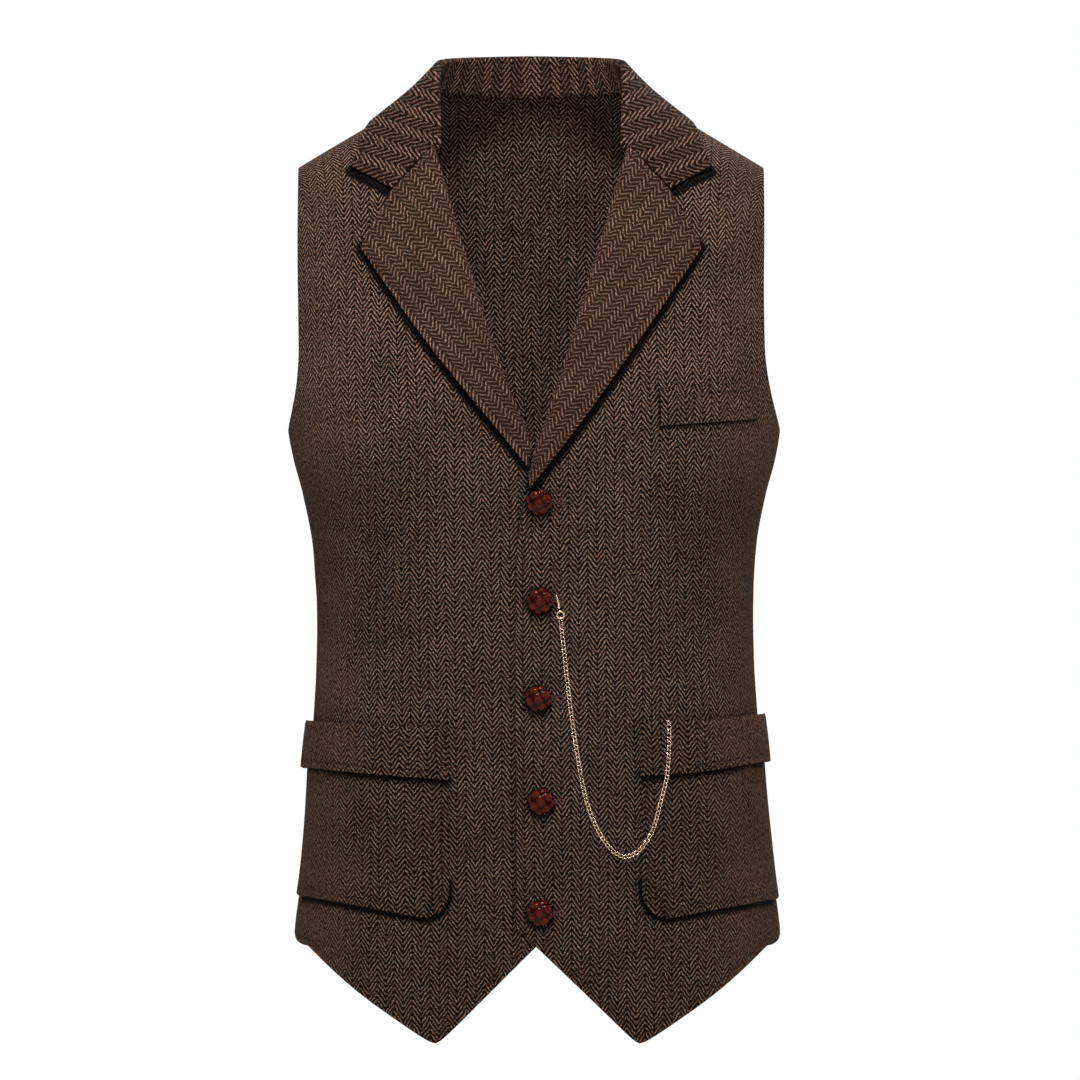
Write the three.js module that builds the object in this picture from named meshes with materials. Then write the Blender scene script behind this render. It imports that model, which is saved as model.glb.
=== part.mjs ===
// A suit waistcoat filled out as if worn: two fronts, a back, a notched collar and lapels,
// a chest welt, two flapped patch pockets, five shank buttons and a watch chain.
// Millimetres, +Z up. The front faces -Y and +X is the wearer's left.
// The origin lies between the tops of the two shoulder seams, where shoulders carry the garment.
import * as THREE from "three";

// Driving sizes of the cloth
const cloth = 2; // wall of tweed with its interlining
const seam = 0.3; // gap between pieces that are sewn edge to edge
const layer = 0.6; // gap between a piece and the cloth that it lies on
const overlapLift = cloth + layer; // how far the lapping front rides over the other

// Horizontal sections of the body are superellipses: 2 is an ellipse, more is squarer
const squareness = 2.5;

// The shoulder line falls from the neck to the tip, and the cloth rolls over it front to back
const shoulder = { tipX: 174, tipZ: -57, slope: 0.605, neckX: 80, crown: 25, roll: 70, lean: -3 };

// Half width, depth before and behind the shoulder line, and sideways lean at each height
const bodyRows = [
  { z: 60, half: 186, front: 56, back: 76, lean: -3 },
  { z: 0, half: 186, front: 66, back: 86, lean: -3 },
  { z: -60, half: 186, front: 88, back: 101, lean: -3 },
  { z: -120, half: 186, front: 106, back: 111, lean: -3 },
  { z: -190, half: 186, front: 120, back: 114, lean: -2.6 },
  { z: -230, half: 185.6, front: 125, back: 113, lean: -1.3 },
  { z: -255, half: 184.5, front: 126, back: 112, lean: -0.5 },
  { z: -278, half: 180.4, front: 125, back: 110, lean: -0.4 },
  { z: -304, half: 173.4, front: 121, back: 107, lean: -0.5 },
  { z: -341, half: 166.4, front: 115, back: 102, lean: -0.3 },
  { z: -397, half: 163.5, front: 110, back: 96, lean: 0 },
  { z: -454, half: 165.2, front: 110, back: 97, lean: 0.4 },
  { z: -510, half: 169.2, front: 112, back: 103, lean: 1 },
  { z: -547, half: 172.2, front: 114, back: 108, lean: 1.4 },
  { z: -585, half: 176, front: 116, back: 112, lean: 1.7 },
  { z: -629, half: 182, front: 119, back: 116, lean: 1.9 },
  { z: -740, half: 190, front: 124, back: 120, lean: 1.9 },
];

const underarmZ = -255;
const backHemZ = -629;
const armhole = { frontX: 175, backX: 170, straightZ: -196, squareness: 2.2, levelShare: 0.35 };

// Rows of each panel above and below the underarm, and the columns and rows of a lapel
const panelRows = { upper: 12, lower: 17 };
const lapelGrid = { gorge: 4, notch: 3, rows: 16 };

// Where the lapping front's lift begins to fall, and where it is gone
const lapFlat = { from: 26, to: 66 };

const backNeck = [
  { x: -80, z: -2.4 },
  { x: -74, z: -3 },
  { x: -58, z: -3.4 },
  { x: -30, z: -3.8 },
  { x: 0, z: -4 },
  { x: 30, z: -3.8 },
  { x: 58, z: -3.4 },
  { x: 74, z: -3 },
  { x: 80, z: -2.4 },
];

// Neck edge of the fronts, which the collar's fold hides above the gorge,
// and the roll line of the lapels below it, measured from the leaning middle
const rollLine = [
  { x: 80, z: -2.4 },
  { x: 76.5, z: -12 },
  { x: 75, z: -24 },
  { x: 72.3, z: -45 },
  { x: 62.6, z: -78 },
  { x: 53, z: -112.5 },
  { x: 43.5, z: -142.5 },
  { x: 30.4, z: -187.5 },
  { x: 20.6, z: -217.5 },
  { x: 10.2, z: -245 },
  { x: 1.2, z: -270 },
];

// Front edges below the meeting of the lapels, and the pointed hem
const lappingEdge = [
  { x: 1.2, z: -270 },
  { x: -5.2, z: -291 },
  { x: -12.4, z: -337 },
  { x: -14.2, z: -397 },
  { x: -14.2, z: -627 },
];
const lappedEdge = [
  { x: 1.2, z: -270 },
  { x: 12, z: -300 },
  { x: 20, z: -345 },
  { x: 20, z: -520 },
  { x: 20, z: -622 },
];
const hem = [
  { x: 172.5, z: -641 },
  { x: 152.5, z: -660 },
  { x: 130, z: -678.7 },
  { x: 103.5, z: -697.5 },
  { x: 83, z: -710.8 },
  { x: 76, z: -713.2 },
];
const hemTip = [
  { x: 76, z: -713.2 },
  { x: 70, z: -709.2 },
  { x: 58, z: -697.8 },
];

// The notched collar and lapels, measured from the leaning middle
const lapel = {
  notch: { x: 103, z: -76.8 },
  tip: { x: 126, z: -119.5 },
  bow: 3.5, // how far the long outer edge swells out
  bowX: 0.79, // the way that it swells
  bowZ: 0.61,
  rise: 2.2, // how far that edge stands off the front
};
const lapelEnds = {
  lapping: { roll: { x: -5, z: -290 }, edge: { x: -3.2, z: -297.5 } },
  lapped: { roll: { x: -0.4, z: -268.5 }, edge: { x: -4.4, z: -283 } },
};

// Sections across half of the collar, from the notch round to the middle of the back, each
// with x measured from the leaning middle: the seam that the stand is sewn on, the fold,
// the belly of the fall, and its edge. Points with an out lie that far off the cloth below.
// sharp is 1 where the fall bends at its belly, and 0 where it curves.
const collarSections = [
  {
    seam: { x: 71.3, z: -44, out: -0.9 },
    fold: { x: 68, z: -41.4, out: 1.5 },
    belly: { x: 103.2, z: -75.6, out: 2.2 },
    edge: { x: 132.8, z: -60.2, out: 3.4 },
    sharp: 1,
  },
  {
    seam: { x: 74.2, z: -26, out: -0.6 },
    fold: { x: 69.4, y: -55.5, z: -16 },
    belly: { x: 98, z: -48, out: 3.2 },
    edge: { x: 128.5, z: -45.5, out: 2.6 },
    sharp: 0.35,
  },
  {
    seam: { x: 76, y: -24, z: -7 },
    fold: { x: 70.2, y: -30, z: 7 },
    belly: { x: 92, y: -31, z: -8.5 },
    edge: { x: 123.5, z: -31.5, out: 2 },
    sharp: 0,
  },
  {
    seam: { x: 77.5, y: 2, z: 1 },
    fold: { x: 68.3, y: -2, z: 20 },
    belly: { x: 89, y: 0, z: 1.5 },
    edge: { x: 118, y: 2, z: -22 },
    sharp: 0,
  },
  {
    seam: { x: 71.5, y: 26, z: 1.5 },
    fold: { x: 64.5, y: 27, z: 23.5 },
    belly: { x: 83, y: 36, z: 3 },
    edge: { x: 108, y: 44, z: -22 },
    sharp: 0,
  },
  {
    seam: { x: 54, y: 50, z: 0.5 },
    fold: { x: 50.5, y: 52, z: 25 },
    belly: { x: 64, y: 68, z: 3 },
    edge: { x: 80, y: 80, z: -23 },
    sharp: 0,
  },
  {
    seam: { x: 28, y: 68.5, z: -0.5 },
    fold: { x: 26.5, y: 70, z: 26 },
    belly: { x: 33, y: 85, z: 4 },
    edge: { x: 42, y: 94, z: -22 },
    sharp: 0,
  },
  {
    seam: { x: 0, y: 74.5, z: -1 },
    fold: { x: 0, y: 75, z: 26.5 },
    belly: { x: 0, y: 90, z: 5 },
    edge: { x: 0, y: 97, z: -21.5 },
    sharp: 0,
  },
];
const collar = { gorgeZ: -44, foldRadius: 2.3, steps: 34, stand: 3, fold: 4, fall: 7, least: 2 };

// The chest welt, its corners seen from the front
const welt = { from: { x: 94.3, z: -225.7 }, to: { x: 165.2, z: -220.4 }, drop: 26.6, columns: 7, rows: 3 };

// Flaps and patch pockets, measured from the leaning middle. They end just before the side seam.
const pockets = [
  {
    side: -1,
    name: "right",
    flapTop: [{ x: 64.4, z: -478.5 }, { x: 129.5, z: -475.5 }, { x: 163, z: -473 }],
    flapDrop: { inner: 38.5, outer: 35.5 },
    innerX: 65.5,
    bottomInner: { x: 87, z: -619.5 },
    bottomOuter: { x: 150, z: -608 },
    foot: -602.7,
  },
  {
    side: 1,
    name: "left",
    flapTop: [{ x: 76, z: -473.2 }, { x: 119.5, z: -472.5 }, { x: 163, z: -468.2 }],
    flapDrop: { inner: 41, outer: 36 },
    innerX: 77.8,
    bottomInner: { x: 100, z: -619.7 },
    bottomOuter: { x: 150, z: -610.8 },
    foot: -605.3,
  },
];
const pocket = {
  corner: 19, // radius of the lower corners
  topZ: -482, // upper edge, under the flap
  sideAngle: 85, // degrees from straight ahead where flap and pocket end
  flapEndZ: [-472.5, -467.5], // height of the flaps' outer ends, right and left
  columns: 10,
  rows: 10,
};
const flap = { columns: 12, rows: 4, rise: 1.4 };

// Shank buttons down the front, each a low dome: radius and height of its profile's points
const buttonSegments = 18;
const buttonProfile = [
  { r: 0, h: 0 },
  { r: 7, h: 0 },
  { r: 9.2, h: 1.2 },
  { r: 9.75, h: 2.8 },
  { r: 9.1, h: 4.7 },
  { r: 7, h: 6.5 },
  { r: 3.8, h: 7.6 },
  { r: 0, h: 8 },
];
const buttonPlaces = [
  { x: 3, z: -308.2 },
  { x: 3.7, z: -382.5 },
  { x: 2.3, z: -456 },
  { x: 4.5, z: -533.2 },
  { x: 3.7, z: -616.5 },
];

// The watch chain: a bar in the second buttonhole, a ring, and the chain to the left pocket
const chain = { radius: 1.5, sides: 8, steps: 48 };
const bar = { radius: 1.1, from: { x: 15.6, z: -378 }, to: { x: 18.2, z: -388.6 } };
const ring = { radius: 2.6, wire: 0.75, at: { x: 18.9, z: -393.2 } };
const resting = 0.4; // gap below the bar, the ring and the buttons
// Route of the chain's middle over the left front, out counted from the lapping front's cloth
const chainRoute = [
  { x: 19.2, z: -398.8, out: 2.1 },
  { x: 20.2, z: -409, out: 2.1 },
  { x: 21.8, z: -423, out: 2.1 },
  { x: 23.2, z: -437, out: 2.1 },
  { x: 24.8, z: -451, out: 2.1 },
  { x: 27.2, z: -470, out: 2.1 },
  { x: 30, z: -489.7, out: 2.1 },
  { x: 32.8, z: -507, out: 2.1 },
  { x: 36, z: -523.5, out: 2.1 },
  { x: 39.7, z: -537.5, out: 2.1 },
  { x: 44.2, z: -549, out: 2.1 },
  { x: 48.5, z: -557.5, out: 2.3 },
  { x: 53.3, z: -564.7, out: 2.8 },
  { x: 58, z: -570, out: 3.3 },
  { x: 62.6, z: -573, out: 3.9 },
  { x: 67, z: -574.2, out: 4.4 },
  { x: 71, z: -573.2, out: 4.8 },
  { x: 75, z: -571, out: 5 },
  { x: 79.2, z: -566.6, out: 5 },
  { x: 83.2, z: -561, out: 5 },
  { x: 86.6, z: -554.2, out: 5.1 },
  { x: 89.4, z: -545, out: 5.6 },
  { x: 91.7, z: -534, out: 7 },
  { x: 93.8, z: -524, out: 8.6 },
  { x: 95.6, z: -515, out: 9.2 },
  { x: 96.6, z: -505, out: 8.9 },
  { x: 97.3, z: -492, out: 8.3 },
  { x: 97.6, z: -482, out: 7.8 },
  { x: 97.6, z: -474.4, out: 7.2 },
];

// Cubic through a table's rows in one column, from the rows above and below
function column(rows, z, key) {
  let i = 0;
  while (i < rows.length - 2 && z < rows[i + 1].z) i += 1;
  const slope = (k) => {
    const a = rows[Math.max(k - 1, 0)];
    const b = rows[Math.min(k + 1, rows.length - 1)];
    return (b[key] - a[key]) / (b.z - a.z);
  };
  const [from, to] = [rows[i], rows[i + 1]];
  const span = to.z - from.z;
  const t = THREE.MathUtils.clamp((z - from.z) / span, 0, 1);
  const bend = t * t * (3 - 2 * t);
  return (
    from[key] * (1 - bend) +
    to[key] * bend +
    span * slope(i) * t * (1 - t) ** 2 -
    span * slope(i + 1) * t * t * (1 - t)
  );
}

function bodyAt(z) {
  return {
    half: column(bodyRows, z, "half"),
    front: column(bodyRows, z, "front"),
    back: column(bodyRows, z, "back"),
    lean: column(bodyRows, z, "lean"),
  };
}

function shoulderZ(x) {
  const away = Math.hypot(x - shoulder.lean, shoulder.crown);
  return shoulder.tipZ + shoulder.slope * (shoulder.tipX - away);
}

// Height lost below the shoulder line after going q millimetres down the cloth, and its inverse
function dropOf(q) {
  const quarter = (shoulder.roll * Math.PI) / 2;
  if (q > quarter) return shoulder.roll + q - quarter;
  return shoulder.roll * (1 - Math.cos(q / shoulder.roll));
}

function arcOf(drop) {
  if (drop > shoulder.roll) return drop - shoulder.roll + (shoulder.roll * Math.PI) / 2;
  return shoulder.roll * Math.acos(1 - Math.max(drop, 0) / shoulder.roll);
}

// A point of the body's cloth: face is -1 on the front and 1 on the back,
// s the angle from straight ahead or straight behind, q the way down from the shoulder line
function surface(face, s, q) {
  const drop = dropOf(q);
  let z = -drop;
  let x = 0;
  let ahead = 0;
  for (let pass = 0; pass < 6; pass += 1) {
    const row = bodyAt(z);
    const depth = face < 0 ? row.front : row.back;
    const across = Math.abs(Math.sin(s)) / row.half;
    const along = Math.abs(Math.cos(s)) / depth;
    const radius = (across ** squareness + along ** squareness) ** (-1 / squareness);
    x = row.lean + radius * Math.sin(s);
    ahead = radius * Math.cos(s);
    z = shoulderZ(x) - drop;
  }
  const rolled = drop >= shoulder.roll ? 1 : Math.sin(q / shoulder.roll);
  return new THREE.Vector3(x, face * (ahead * rolled + seam / 2), z);
}

function normalAt(face, s, q) {
  const turn = 0.002;
  const step = 0.5;
  const across = surface(face, s + turn, q).sub(surface(face, s - turn, q));
  const down = surface(face, s, q + step).sub(surface(face, s, Math.max(q - step, 0)));
  return across.cross(down).normalize().multiplyScalar(face);
}

function place(face, at, out) {
  return surface(face, at.s, at.q).addScaledVector(normalAt(face, at.s, at.q), out);
}

// Body coordinates of a point seen from straight ahead, x measured from the leaning middle
function seenAt(face, x, z) {
  const row = bodyAt(z);
  const depth = face < 0 ? row.front : row.back;
  const part = Math.min(Math.abs(x) / row.half, 1);
  const ahead = depth * (1 - part ** squareness) ** (1 / squareness);
  return { s: Math.atan2(x, ahead), q: arcOf(shoulderZ(x + row.lean) - z) };
}

// The same for a true x, not measured from the leaning middle
function trueAt(face, x, z) {
  return seenAt(face, x - bodyAt(z).lean, z);
}

// Body coordinates on the side seam, side -1 or 1
function onSide(side, z, angle = 90) {
  const s = side * THREE.MathUtils.degToRad(angle);
  const row = bodyAt(z);
  const reach = Math.sin(Math.abs(s)) * row.half;
  return { s, q: arcOf(shoulderZ(side * reach + row.lean) - z) };
}

// A smooth line through points of the plane, and a straight one
function smoothLine(points, count = 24) {
  const curve = new THREE.SplineCurve(points.map((p) => new THREE.Vector2(p.x, p.z)));
  return curve.getPoints(count * (points.length - 1)).map((p) => ({ x: p.x, z: p.y }));
}

function straightLine(from, to, count = 24) {
  return Array.from({ length: count + 1 }, (_, i) => ({
    x: THREE.MathUtils.lerp(from.x, to.x, i / count),
    z: THREE.MathUtils.lerp(from.z, to.z, i / count),
  }));
}

// Spaces a line of body coordinates evenly by its length over the cloth,
// in which level stretches may count for less than their length
function evenly(face, line, count, levelShare = 1) {
  const points = line.map((at) => surface(face, at.s, at.q));
  const far = [0];
  for (let i = 1; i < points.length; i += 1) {
    const way = points[i].distanceTo(points[i - 1]);
    const down = Math.abs(line[i].q - line[i - 1].q);
    far.push(far[i - 1] + levelShare * way + (1 - levelShare) * Math.min(down, way));
  }
  const total = far[far.length - 1];
  let k = 0;
  return Array.from({ length: count + 1 }, (_, i) => {
    const want = (total * i) / count;
    while (k < far.length - 2 && far[k + 1] < want) k += 1;
    const t = THREE.MathUtils.clamp((want - far[k]) / (far[k + 1] - far[k] || 1), 0, 1);
    return {
      s: THREE.MathUtils.lerp(line[k].s, line[k + 1].s, t),
      q: THREE.MathUtils.lerp(line[k].q, line[k + 1].q, t),
    };
  });
}

// Joins stretches that share an end point
function joined(...stretches) {
  return stretches.flatMap((stretch, i) => (i ? stretch.slice(1) : stretch));
}

// Fills the space inside four edges with a grid of body coordinates, rows from top to bottom
function filled({ top, bottom, left, right }) {
  const mix = (key, i, j) => {
    const v = i / (left.length - 1);
    const u = j / (top.length - 1);
    const [first, last] = [0, top.length - 1];
    const corners =
      (1 - u) * (1 - v) * top[first][key] +
      u * (1 - v) * top[last][key] +
      (1 - u) * v * bottom[first][key] +
      u * v * bottom[last][key];
    const rows = (1 - v) * top[j][key] + v * bottom[j][key];
    return rows + (1 - u) * left[i][key] + u * right[i][key] - corners;
  };
  return left.map((_, i) => top.map((__, j) => ({ s: mix("s", i, j), q: mix("q", i, j) })));
}

// A closed wall between two grids of points, the first with its rows seen from outside
function wallBetween(outer, inner, flipped) {
  const rows = outer.length;
  const columns = outer[0].length;
  const positions = [...outer.flat(), ...inner.flat()].flatMap((p) => [p.x, p.y, p.z]);
  const index = [];
  const triangle = (a, b, c) => index.push(...(flipped ? [a, c, b] : [a, b, c]));
  const inside = rows * columns;
  const id = (i, j) => i * columns + j;
  for (let i = 0; i < rows - 1; i += 1) {
    for (let j = 0; j < columns - 1; j += 1) {
      const quad = [id(i, j), id(i + 1, j), id(i + 1, j + 1), id(i, j + 1)];
      // The shorter diagonal splits the quad, so that skewed ones lie smooth
      const falling = outer[i][j].distanceTo(outer[i + 1][j + 1]);
      const rising = outer[i + 1][j].distanceTo(outer[i][j + 1]);
      const [a, b, c, d] = falling <= rising ? quad : [...quad.slice(1), quad[0]];
      triangle(a, b, c);
      triangle(a, c, d);
      triangle(inside + a, inside + c, inside + b);
      triangle(inside + a, inside + d, inside + c);
    }
  }
  const rim = [];
  for (let i = 0; i < rows - 1; i += 1) rim.push(id(i, 0));
  for (let j = 0; j < columns - 1; j += 1) rim.push(id(rows - 1, j));
  for (let i = rows - 1; i > 0; i -= 1) rim.push(id(i, columns - 1));
  for (let j = columns - 1; j > 0; j -= 1) rim.push(id(0, j));
  rim.forEach((a, k) => {
    const b = rim[(k + 1) % rim.length];
    triangle(b, a, inside + a);
    triangle(b, inside + a, inside + b);
  });
  const geometry = new THREE.BufferGeometry();
  geometry.setAttribute("position", new THREE.Float32BufferAttribute(positions, 3));
  geometry.setIndex(index);
  return geometry;
}

// A panel that follows the body, its outside raised by lift(point, i, j).
// Its top and bottom run from -X to +X, or from +X to -X on a panel that is mirrored.
function bodyPanel(face, edges, { lift = () => 0, mirrored = false } = {}) {
  const grid = filled(edges);
  const out = grid.map((row, i) => row.map((at, j) => lift(surface(face, at.s, at.q), i, j)));
  const outer = grid.map((row, i) => row.map((at, j) => place(face, at, out[i][j])));
  const inner = grid.map((row, i) => row.map((at, j) => place(face, at, out[i][j] - cloth)));
  return wallBetween(outer, inner, face > 0 !== mirrored);
}

const waistcoat = new THREE.Group();

function addPiece(name, geometry, finish) {
  geometry.computeVertexNormals();
  const piece = new THREE.Mesh(geometry, new THREE.MeshStandardMaterial(finish));
  piece.name = name;
  waistcoat.add(piece);
  return piece;
}

const tweed = { color: 0x4a382e, roughness: 0.95, metalness: 0 };
const tweedLight = { color: 0x564236, roughness: 0.95, metalness: 0 };
const tweedDark = { color: 0x40302a, roughness: 0.95, metalness: 0 };
const leather = { color: 0x4a140c, roughness: 0.25, metalness: 0 };
const brass = { color: 0xc9a869, roughness: 0.3, metalness: 0.9 };

// The armhole's edge: straight down from the shoulder tip, then a quarter round to the side seam
function armholeEdge(face, side, x) {
  const top = { x: side * x, z: shoulderZ(side * x + shoulder.lean) };
  const straight = straightLine(top, { x: side * x, z: armhole.straightZ });
  const from = seenAt(face, side * x, armhole.straightZ).s;
  const to = (side * Math.PI) / 2;
  const count = 30;
  const power = 2 / armhole.squareness;
  const round = Array.from({ length: count + 1 }, (_, i) => {
    const turn = ((i / count) * Math.PI) / 2;
    const z = THREE.MathUtils.lerp(armhole.straightZ, underarmZ, Math.sin(turn) ** power);
    const s = THREE.MathUtils.lerp(to, from, Math.cos(turn) ** power);
    const row = bodyAt(z);
    return { s, q: arcOf(shoulderZ(Math.sin(s) * row.half + row.lean) - z) };
  });
  return joined(straight.map((p) => seenAt(face, p.x, p.z)), round);
}

function sideSeam(side, from, to) {
  return straightLine({ x: 0, z: from }, { x: 0, z: to }).map((p) => onSide(side, p.z));
}

// A front or back's outer edge: armhole, then side seam
function outerEdge(face, side, armholeX) {
  return joined(
    evenly(face, armholeEdge(face, side, armholeX), panelRows.upper, armhole.levelShare),
    evenly(face, sideSeam(side, underarmZ, backHemZ), panelRows.lower),
  );
}

// A stretch of the shoulder seam, x measured from the leaning middle
function shoulderSeam(face, from, to) {
  return straightLine({ x: from, z: 0 }, { x: to, z: 0 }).map((p) => ({
    s: seenAt(face, p.x, shoulderZ(p.x + shoulder.lean)).s,
    q: 0,
  }));
}

// The lapping front rides up over the other and comes down again before its pocket
function lapLift(point) {
  return overlapLift * (1 - THREE.MathUtils.smoothstep(point.x, lapFlat.from, lapFlat.to));
}

// side -1 is the wearer's right front, which is lapped, and 1 the left one, which laps over it
function addFront(side) {
  const face = -1;
  const lapping = side > 0;
  const columns = { outer: 9, inner: 6 };
  const frontEdge = lapping ? lappingEdge : lappedEdge;
  const at = (p) => seenAt(face, side * p.x, p.z);
  const front = smoothLine(frontEdge).map((p) => trueAt(face, p.x, p.z));
  const seamLine = shoulderSeam(face, side * armhole.frontX, side * shoulder.neckX);
  const roll = [seamLine[seamLine.length - 1], ...smoothLine(rollLine).slice(1, -1).map(at), front[0]];
  const outerHem = [onSide(side, backHemZ), ...smoothLine(hem).map(at)];
  const foot = frontEdge[frontEdge.length - 1];
  const footSeen = { x: side * (foot.x - bodyAt(foot.z).lean), z: foot.z };
  const slant = straightLine(hemTip[hemTip.length - 1], footSeen);
  const innerHem = joined(smoothLine(hemTip), slant).map(at);
  const edges = {
    top: evenly(face, seamLine, columns.outer + columns.inner),
    left: outerEdge(face, side, armhole.frontX),
    right: joined(evenly(face, roll, panelRows.upper), evenly(face, front, panelRows.lower)),
    bottom: joined(evenly(face, outerHem, columns.outer), evenly(face, innerHem, columns.inner)),
  };
  const lift = lapping ? lapLift : () => 0;
  const geometry = bodyPanel(face, edges, { lift, mirrored: lapping });
  addPiece(lapping ? "front_left" : "front_right", geometry, tweed);
}

// The back, in one piece: shoulder seams, neck, armholes and a straight hem
function addBack() {
  const face = 1;
  const columns = { shoulder: 5, neck: 10 };
  const neck = smoothLine(backNeck).map((p) => seenAt(face, p.x, p.z));
  const hemAngles = straightLine({ x: -90, z: 0 }, { x: 90, z: 0 }, 60);
  const hemLine = hemAngles.map((p) => onSide(Math.sign(p.x) || 1, backHemZ, Math.abs(p.x)));
  const edges = {
    top: joined(
      evenly(face, shoulderSeam(face, -armhole.backX, -shoulder.neckX), columns.shoulder),
      evenly(face, neck, columns.neck),
      evenly(face, shoulderSeam(face, shoulder.neckX, armhole.backX), columns.shoulder),
    ),
    left: outerEdge(face, -1, armhole.backX),
    right: outerEdge(face, 1, armhole.backX),
    bottom: evenly(face, hemLine, 2 * columns.shoulder + columns.neck),
  };
  addPiece("back", bodyPanel(face, edges), tweedDark);
}

// Part of the roll line between two heights, from the top
function rollBetween(from, to) {
  return smoothLine(rollLine).filter((p) => p.z < from && p.z > to);
}

// A lapel lies on its front from the roll line out, its long edge standing off a little
function addLapel(side) {
  const face = -1;
  const lapping = side > 0;
  const ends = lapping ? lapelEnds.lapping : lapelEnds.lapped;
  const seen = (p) => seenAt(face, side * p.x, p.z);
  const roll = rollBetween(collar.gorgeZ, ends.roll.z);
  const rollEdge = roll.map(seen);
  if (lapping) rollEdge.push(trueAt(face, ends.roll.x, ends.roll.z));
  const columns = lapelGrid.gorge + lapelGrid.notch;
  const bowed = straightLine(lapel.tip, { x: side * ends.edge.x, z: ends.edge.z }).map((p, i, all) => {
    const swell = lapel.bow * Math.sin((Math.PI * i) / (all.length - 1));
    return { x: p.x + swell * lapel.bowX, z: p.z - swell * lapel.bowZ };
  });
  const rollLast = lapping ? { x: side * ends.roll.x, z: ends.roll.z } : roll[roll.length - 1];
  const edges = {
    top: joined(
      evenly(face, straightLine(roll[0], lapel.notch).map(seen), lapelGrid.gorge),
      evenly(face, straightLine(lapel.notch, lapel.tip).map(seen), lapelGrid.notch),
    ),
    left: evenly(face, rollEdge, lapelGrid.rows),
    right: evenly(face, bowed.map(seen), lapelGrid.rows),
    bottom: evenly(face, straightLine(rollLast, bowed[bowed.length - 1]).map(seen), columns),
  };
  const lift = (point, i, j) => {
    const under = lapping ? lapLift(point) : 0;
    return under + layer + cloth + lapel.rise * (j / columns) ** 2;
  };
  const geometry = bodyPanel(face, edges, { lift, mirrored: !lapping });
  addPiece(lapping ? "lapel_left" : "lapel_right", geometry, tweedLight);
}

// How far a free point lies outside the body's cloth, roughly, and the way out from there
function outside(point) {
  const value = (x, y, z) => {
    const row = bodyAt(z);
    const part = Math.min(Math.abs(x - row.lean) / row.half, 0.98);
    const depth = (y < 0 ? row.front : row.back) * (1 - part ** squareness) ** (1 / squareness);
    const high = Math.max(shoulder.roll - (shoulderZ(x) - z), 0) / shoulder.roll;
    return Math.hypot(y / depth, high) - 1;
  };
  const here = value(point.x, point.y, point.z);
  const step = 0.5;
  const way = new THREE.Vector3(
    value(point.x + step, point.y, point.z) - value(point.x - step, point.y, point.z),
    value(point.x, point.y + step, point.z) - value(point.x, point.y - step, point.z),
    value(point.x, point.y, point.z + step) - value(point.x, point.y, point.z - step),
  ).divideScalar(2 * step);
  return { distance: here / way.length(), way: way.normalize() };
}

function keptOutside(point, least) {
  const moved = point.clone();
  for (let pass = 0; pass < 4; pass += 1) {
    const { distance, way } = outside(moved);
    if (distance < least) moved.addScaledVector(way, least - distance);
  }
  return moved;
}

// A point of a collar section in space, side -1 or 1
function collarPoint(spec, side) {
  if ("out" in spec) return place(-1, seenAt(-1, side * spec.x, spec.z), spec.out);
  return new THREE.Vector3(side * spec.x + shoulder.lean, spec.y, spec.z);
}

// The middle of the collar's wall across one section: up the stand, round the fold, down the fall
function collarProfile({ seam: foot, fold, belly, edge, sharp }) {
  const up = fold.clone().sub(foot).normalize();
  const out = edge.clone().sub(foot);
  out.addScaledVector(up, -out.dot(up)).normalize();
  const r = collar.foldRadius;
  const centre = fold.clone().addScaledVector(up, -r - cloth / 2);
  const standTop = centre.clone().addScaledVector(out, -r);
  const fallTop = centre.clone().addScaledVector(out, r);
  const points = [];
  for (let i = 0; i < collar.stand; i += 1) points.push(foot.clone().lerp(standTop, i / collar.stand));
  for (let i = 0; i < collar.fold; i += 1) {
    const turn = (Math.PI * i) / collar.fold;
    points.push(
      centre.clone().addScaledVector(out, -r * Math.cos(turn)).addScaledVector(up, r * Math.sin(turn)),
    );
  }
  const curve = new THREE.CatmullRomCurve3([fallTop, belly, edge], false, "centripetal");
  const half = Math.ceil(collar.fall / 2);
  for (let i = 0; i <= collar.fall; i += 1) {
    const bent =
      i <= half
        ? fallTop.clone().lerp(belly, i / half)
        : belly.clone().lerp(edge, (i - half) / (collar.fall - half));
    const t = i <= half ? (0.5 * i) / half : 0.5 + (0.5 * (i - half)) / (collar.fall - half);
    const curved = curve.getPoint(t);
    const point = bent.lerp(curved, 1 - sharp);
    points.push(i > 0 ? keptOutside(point, collar.least) : point);
  }
  return points;
}

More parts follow.
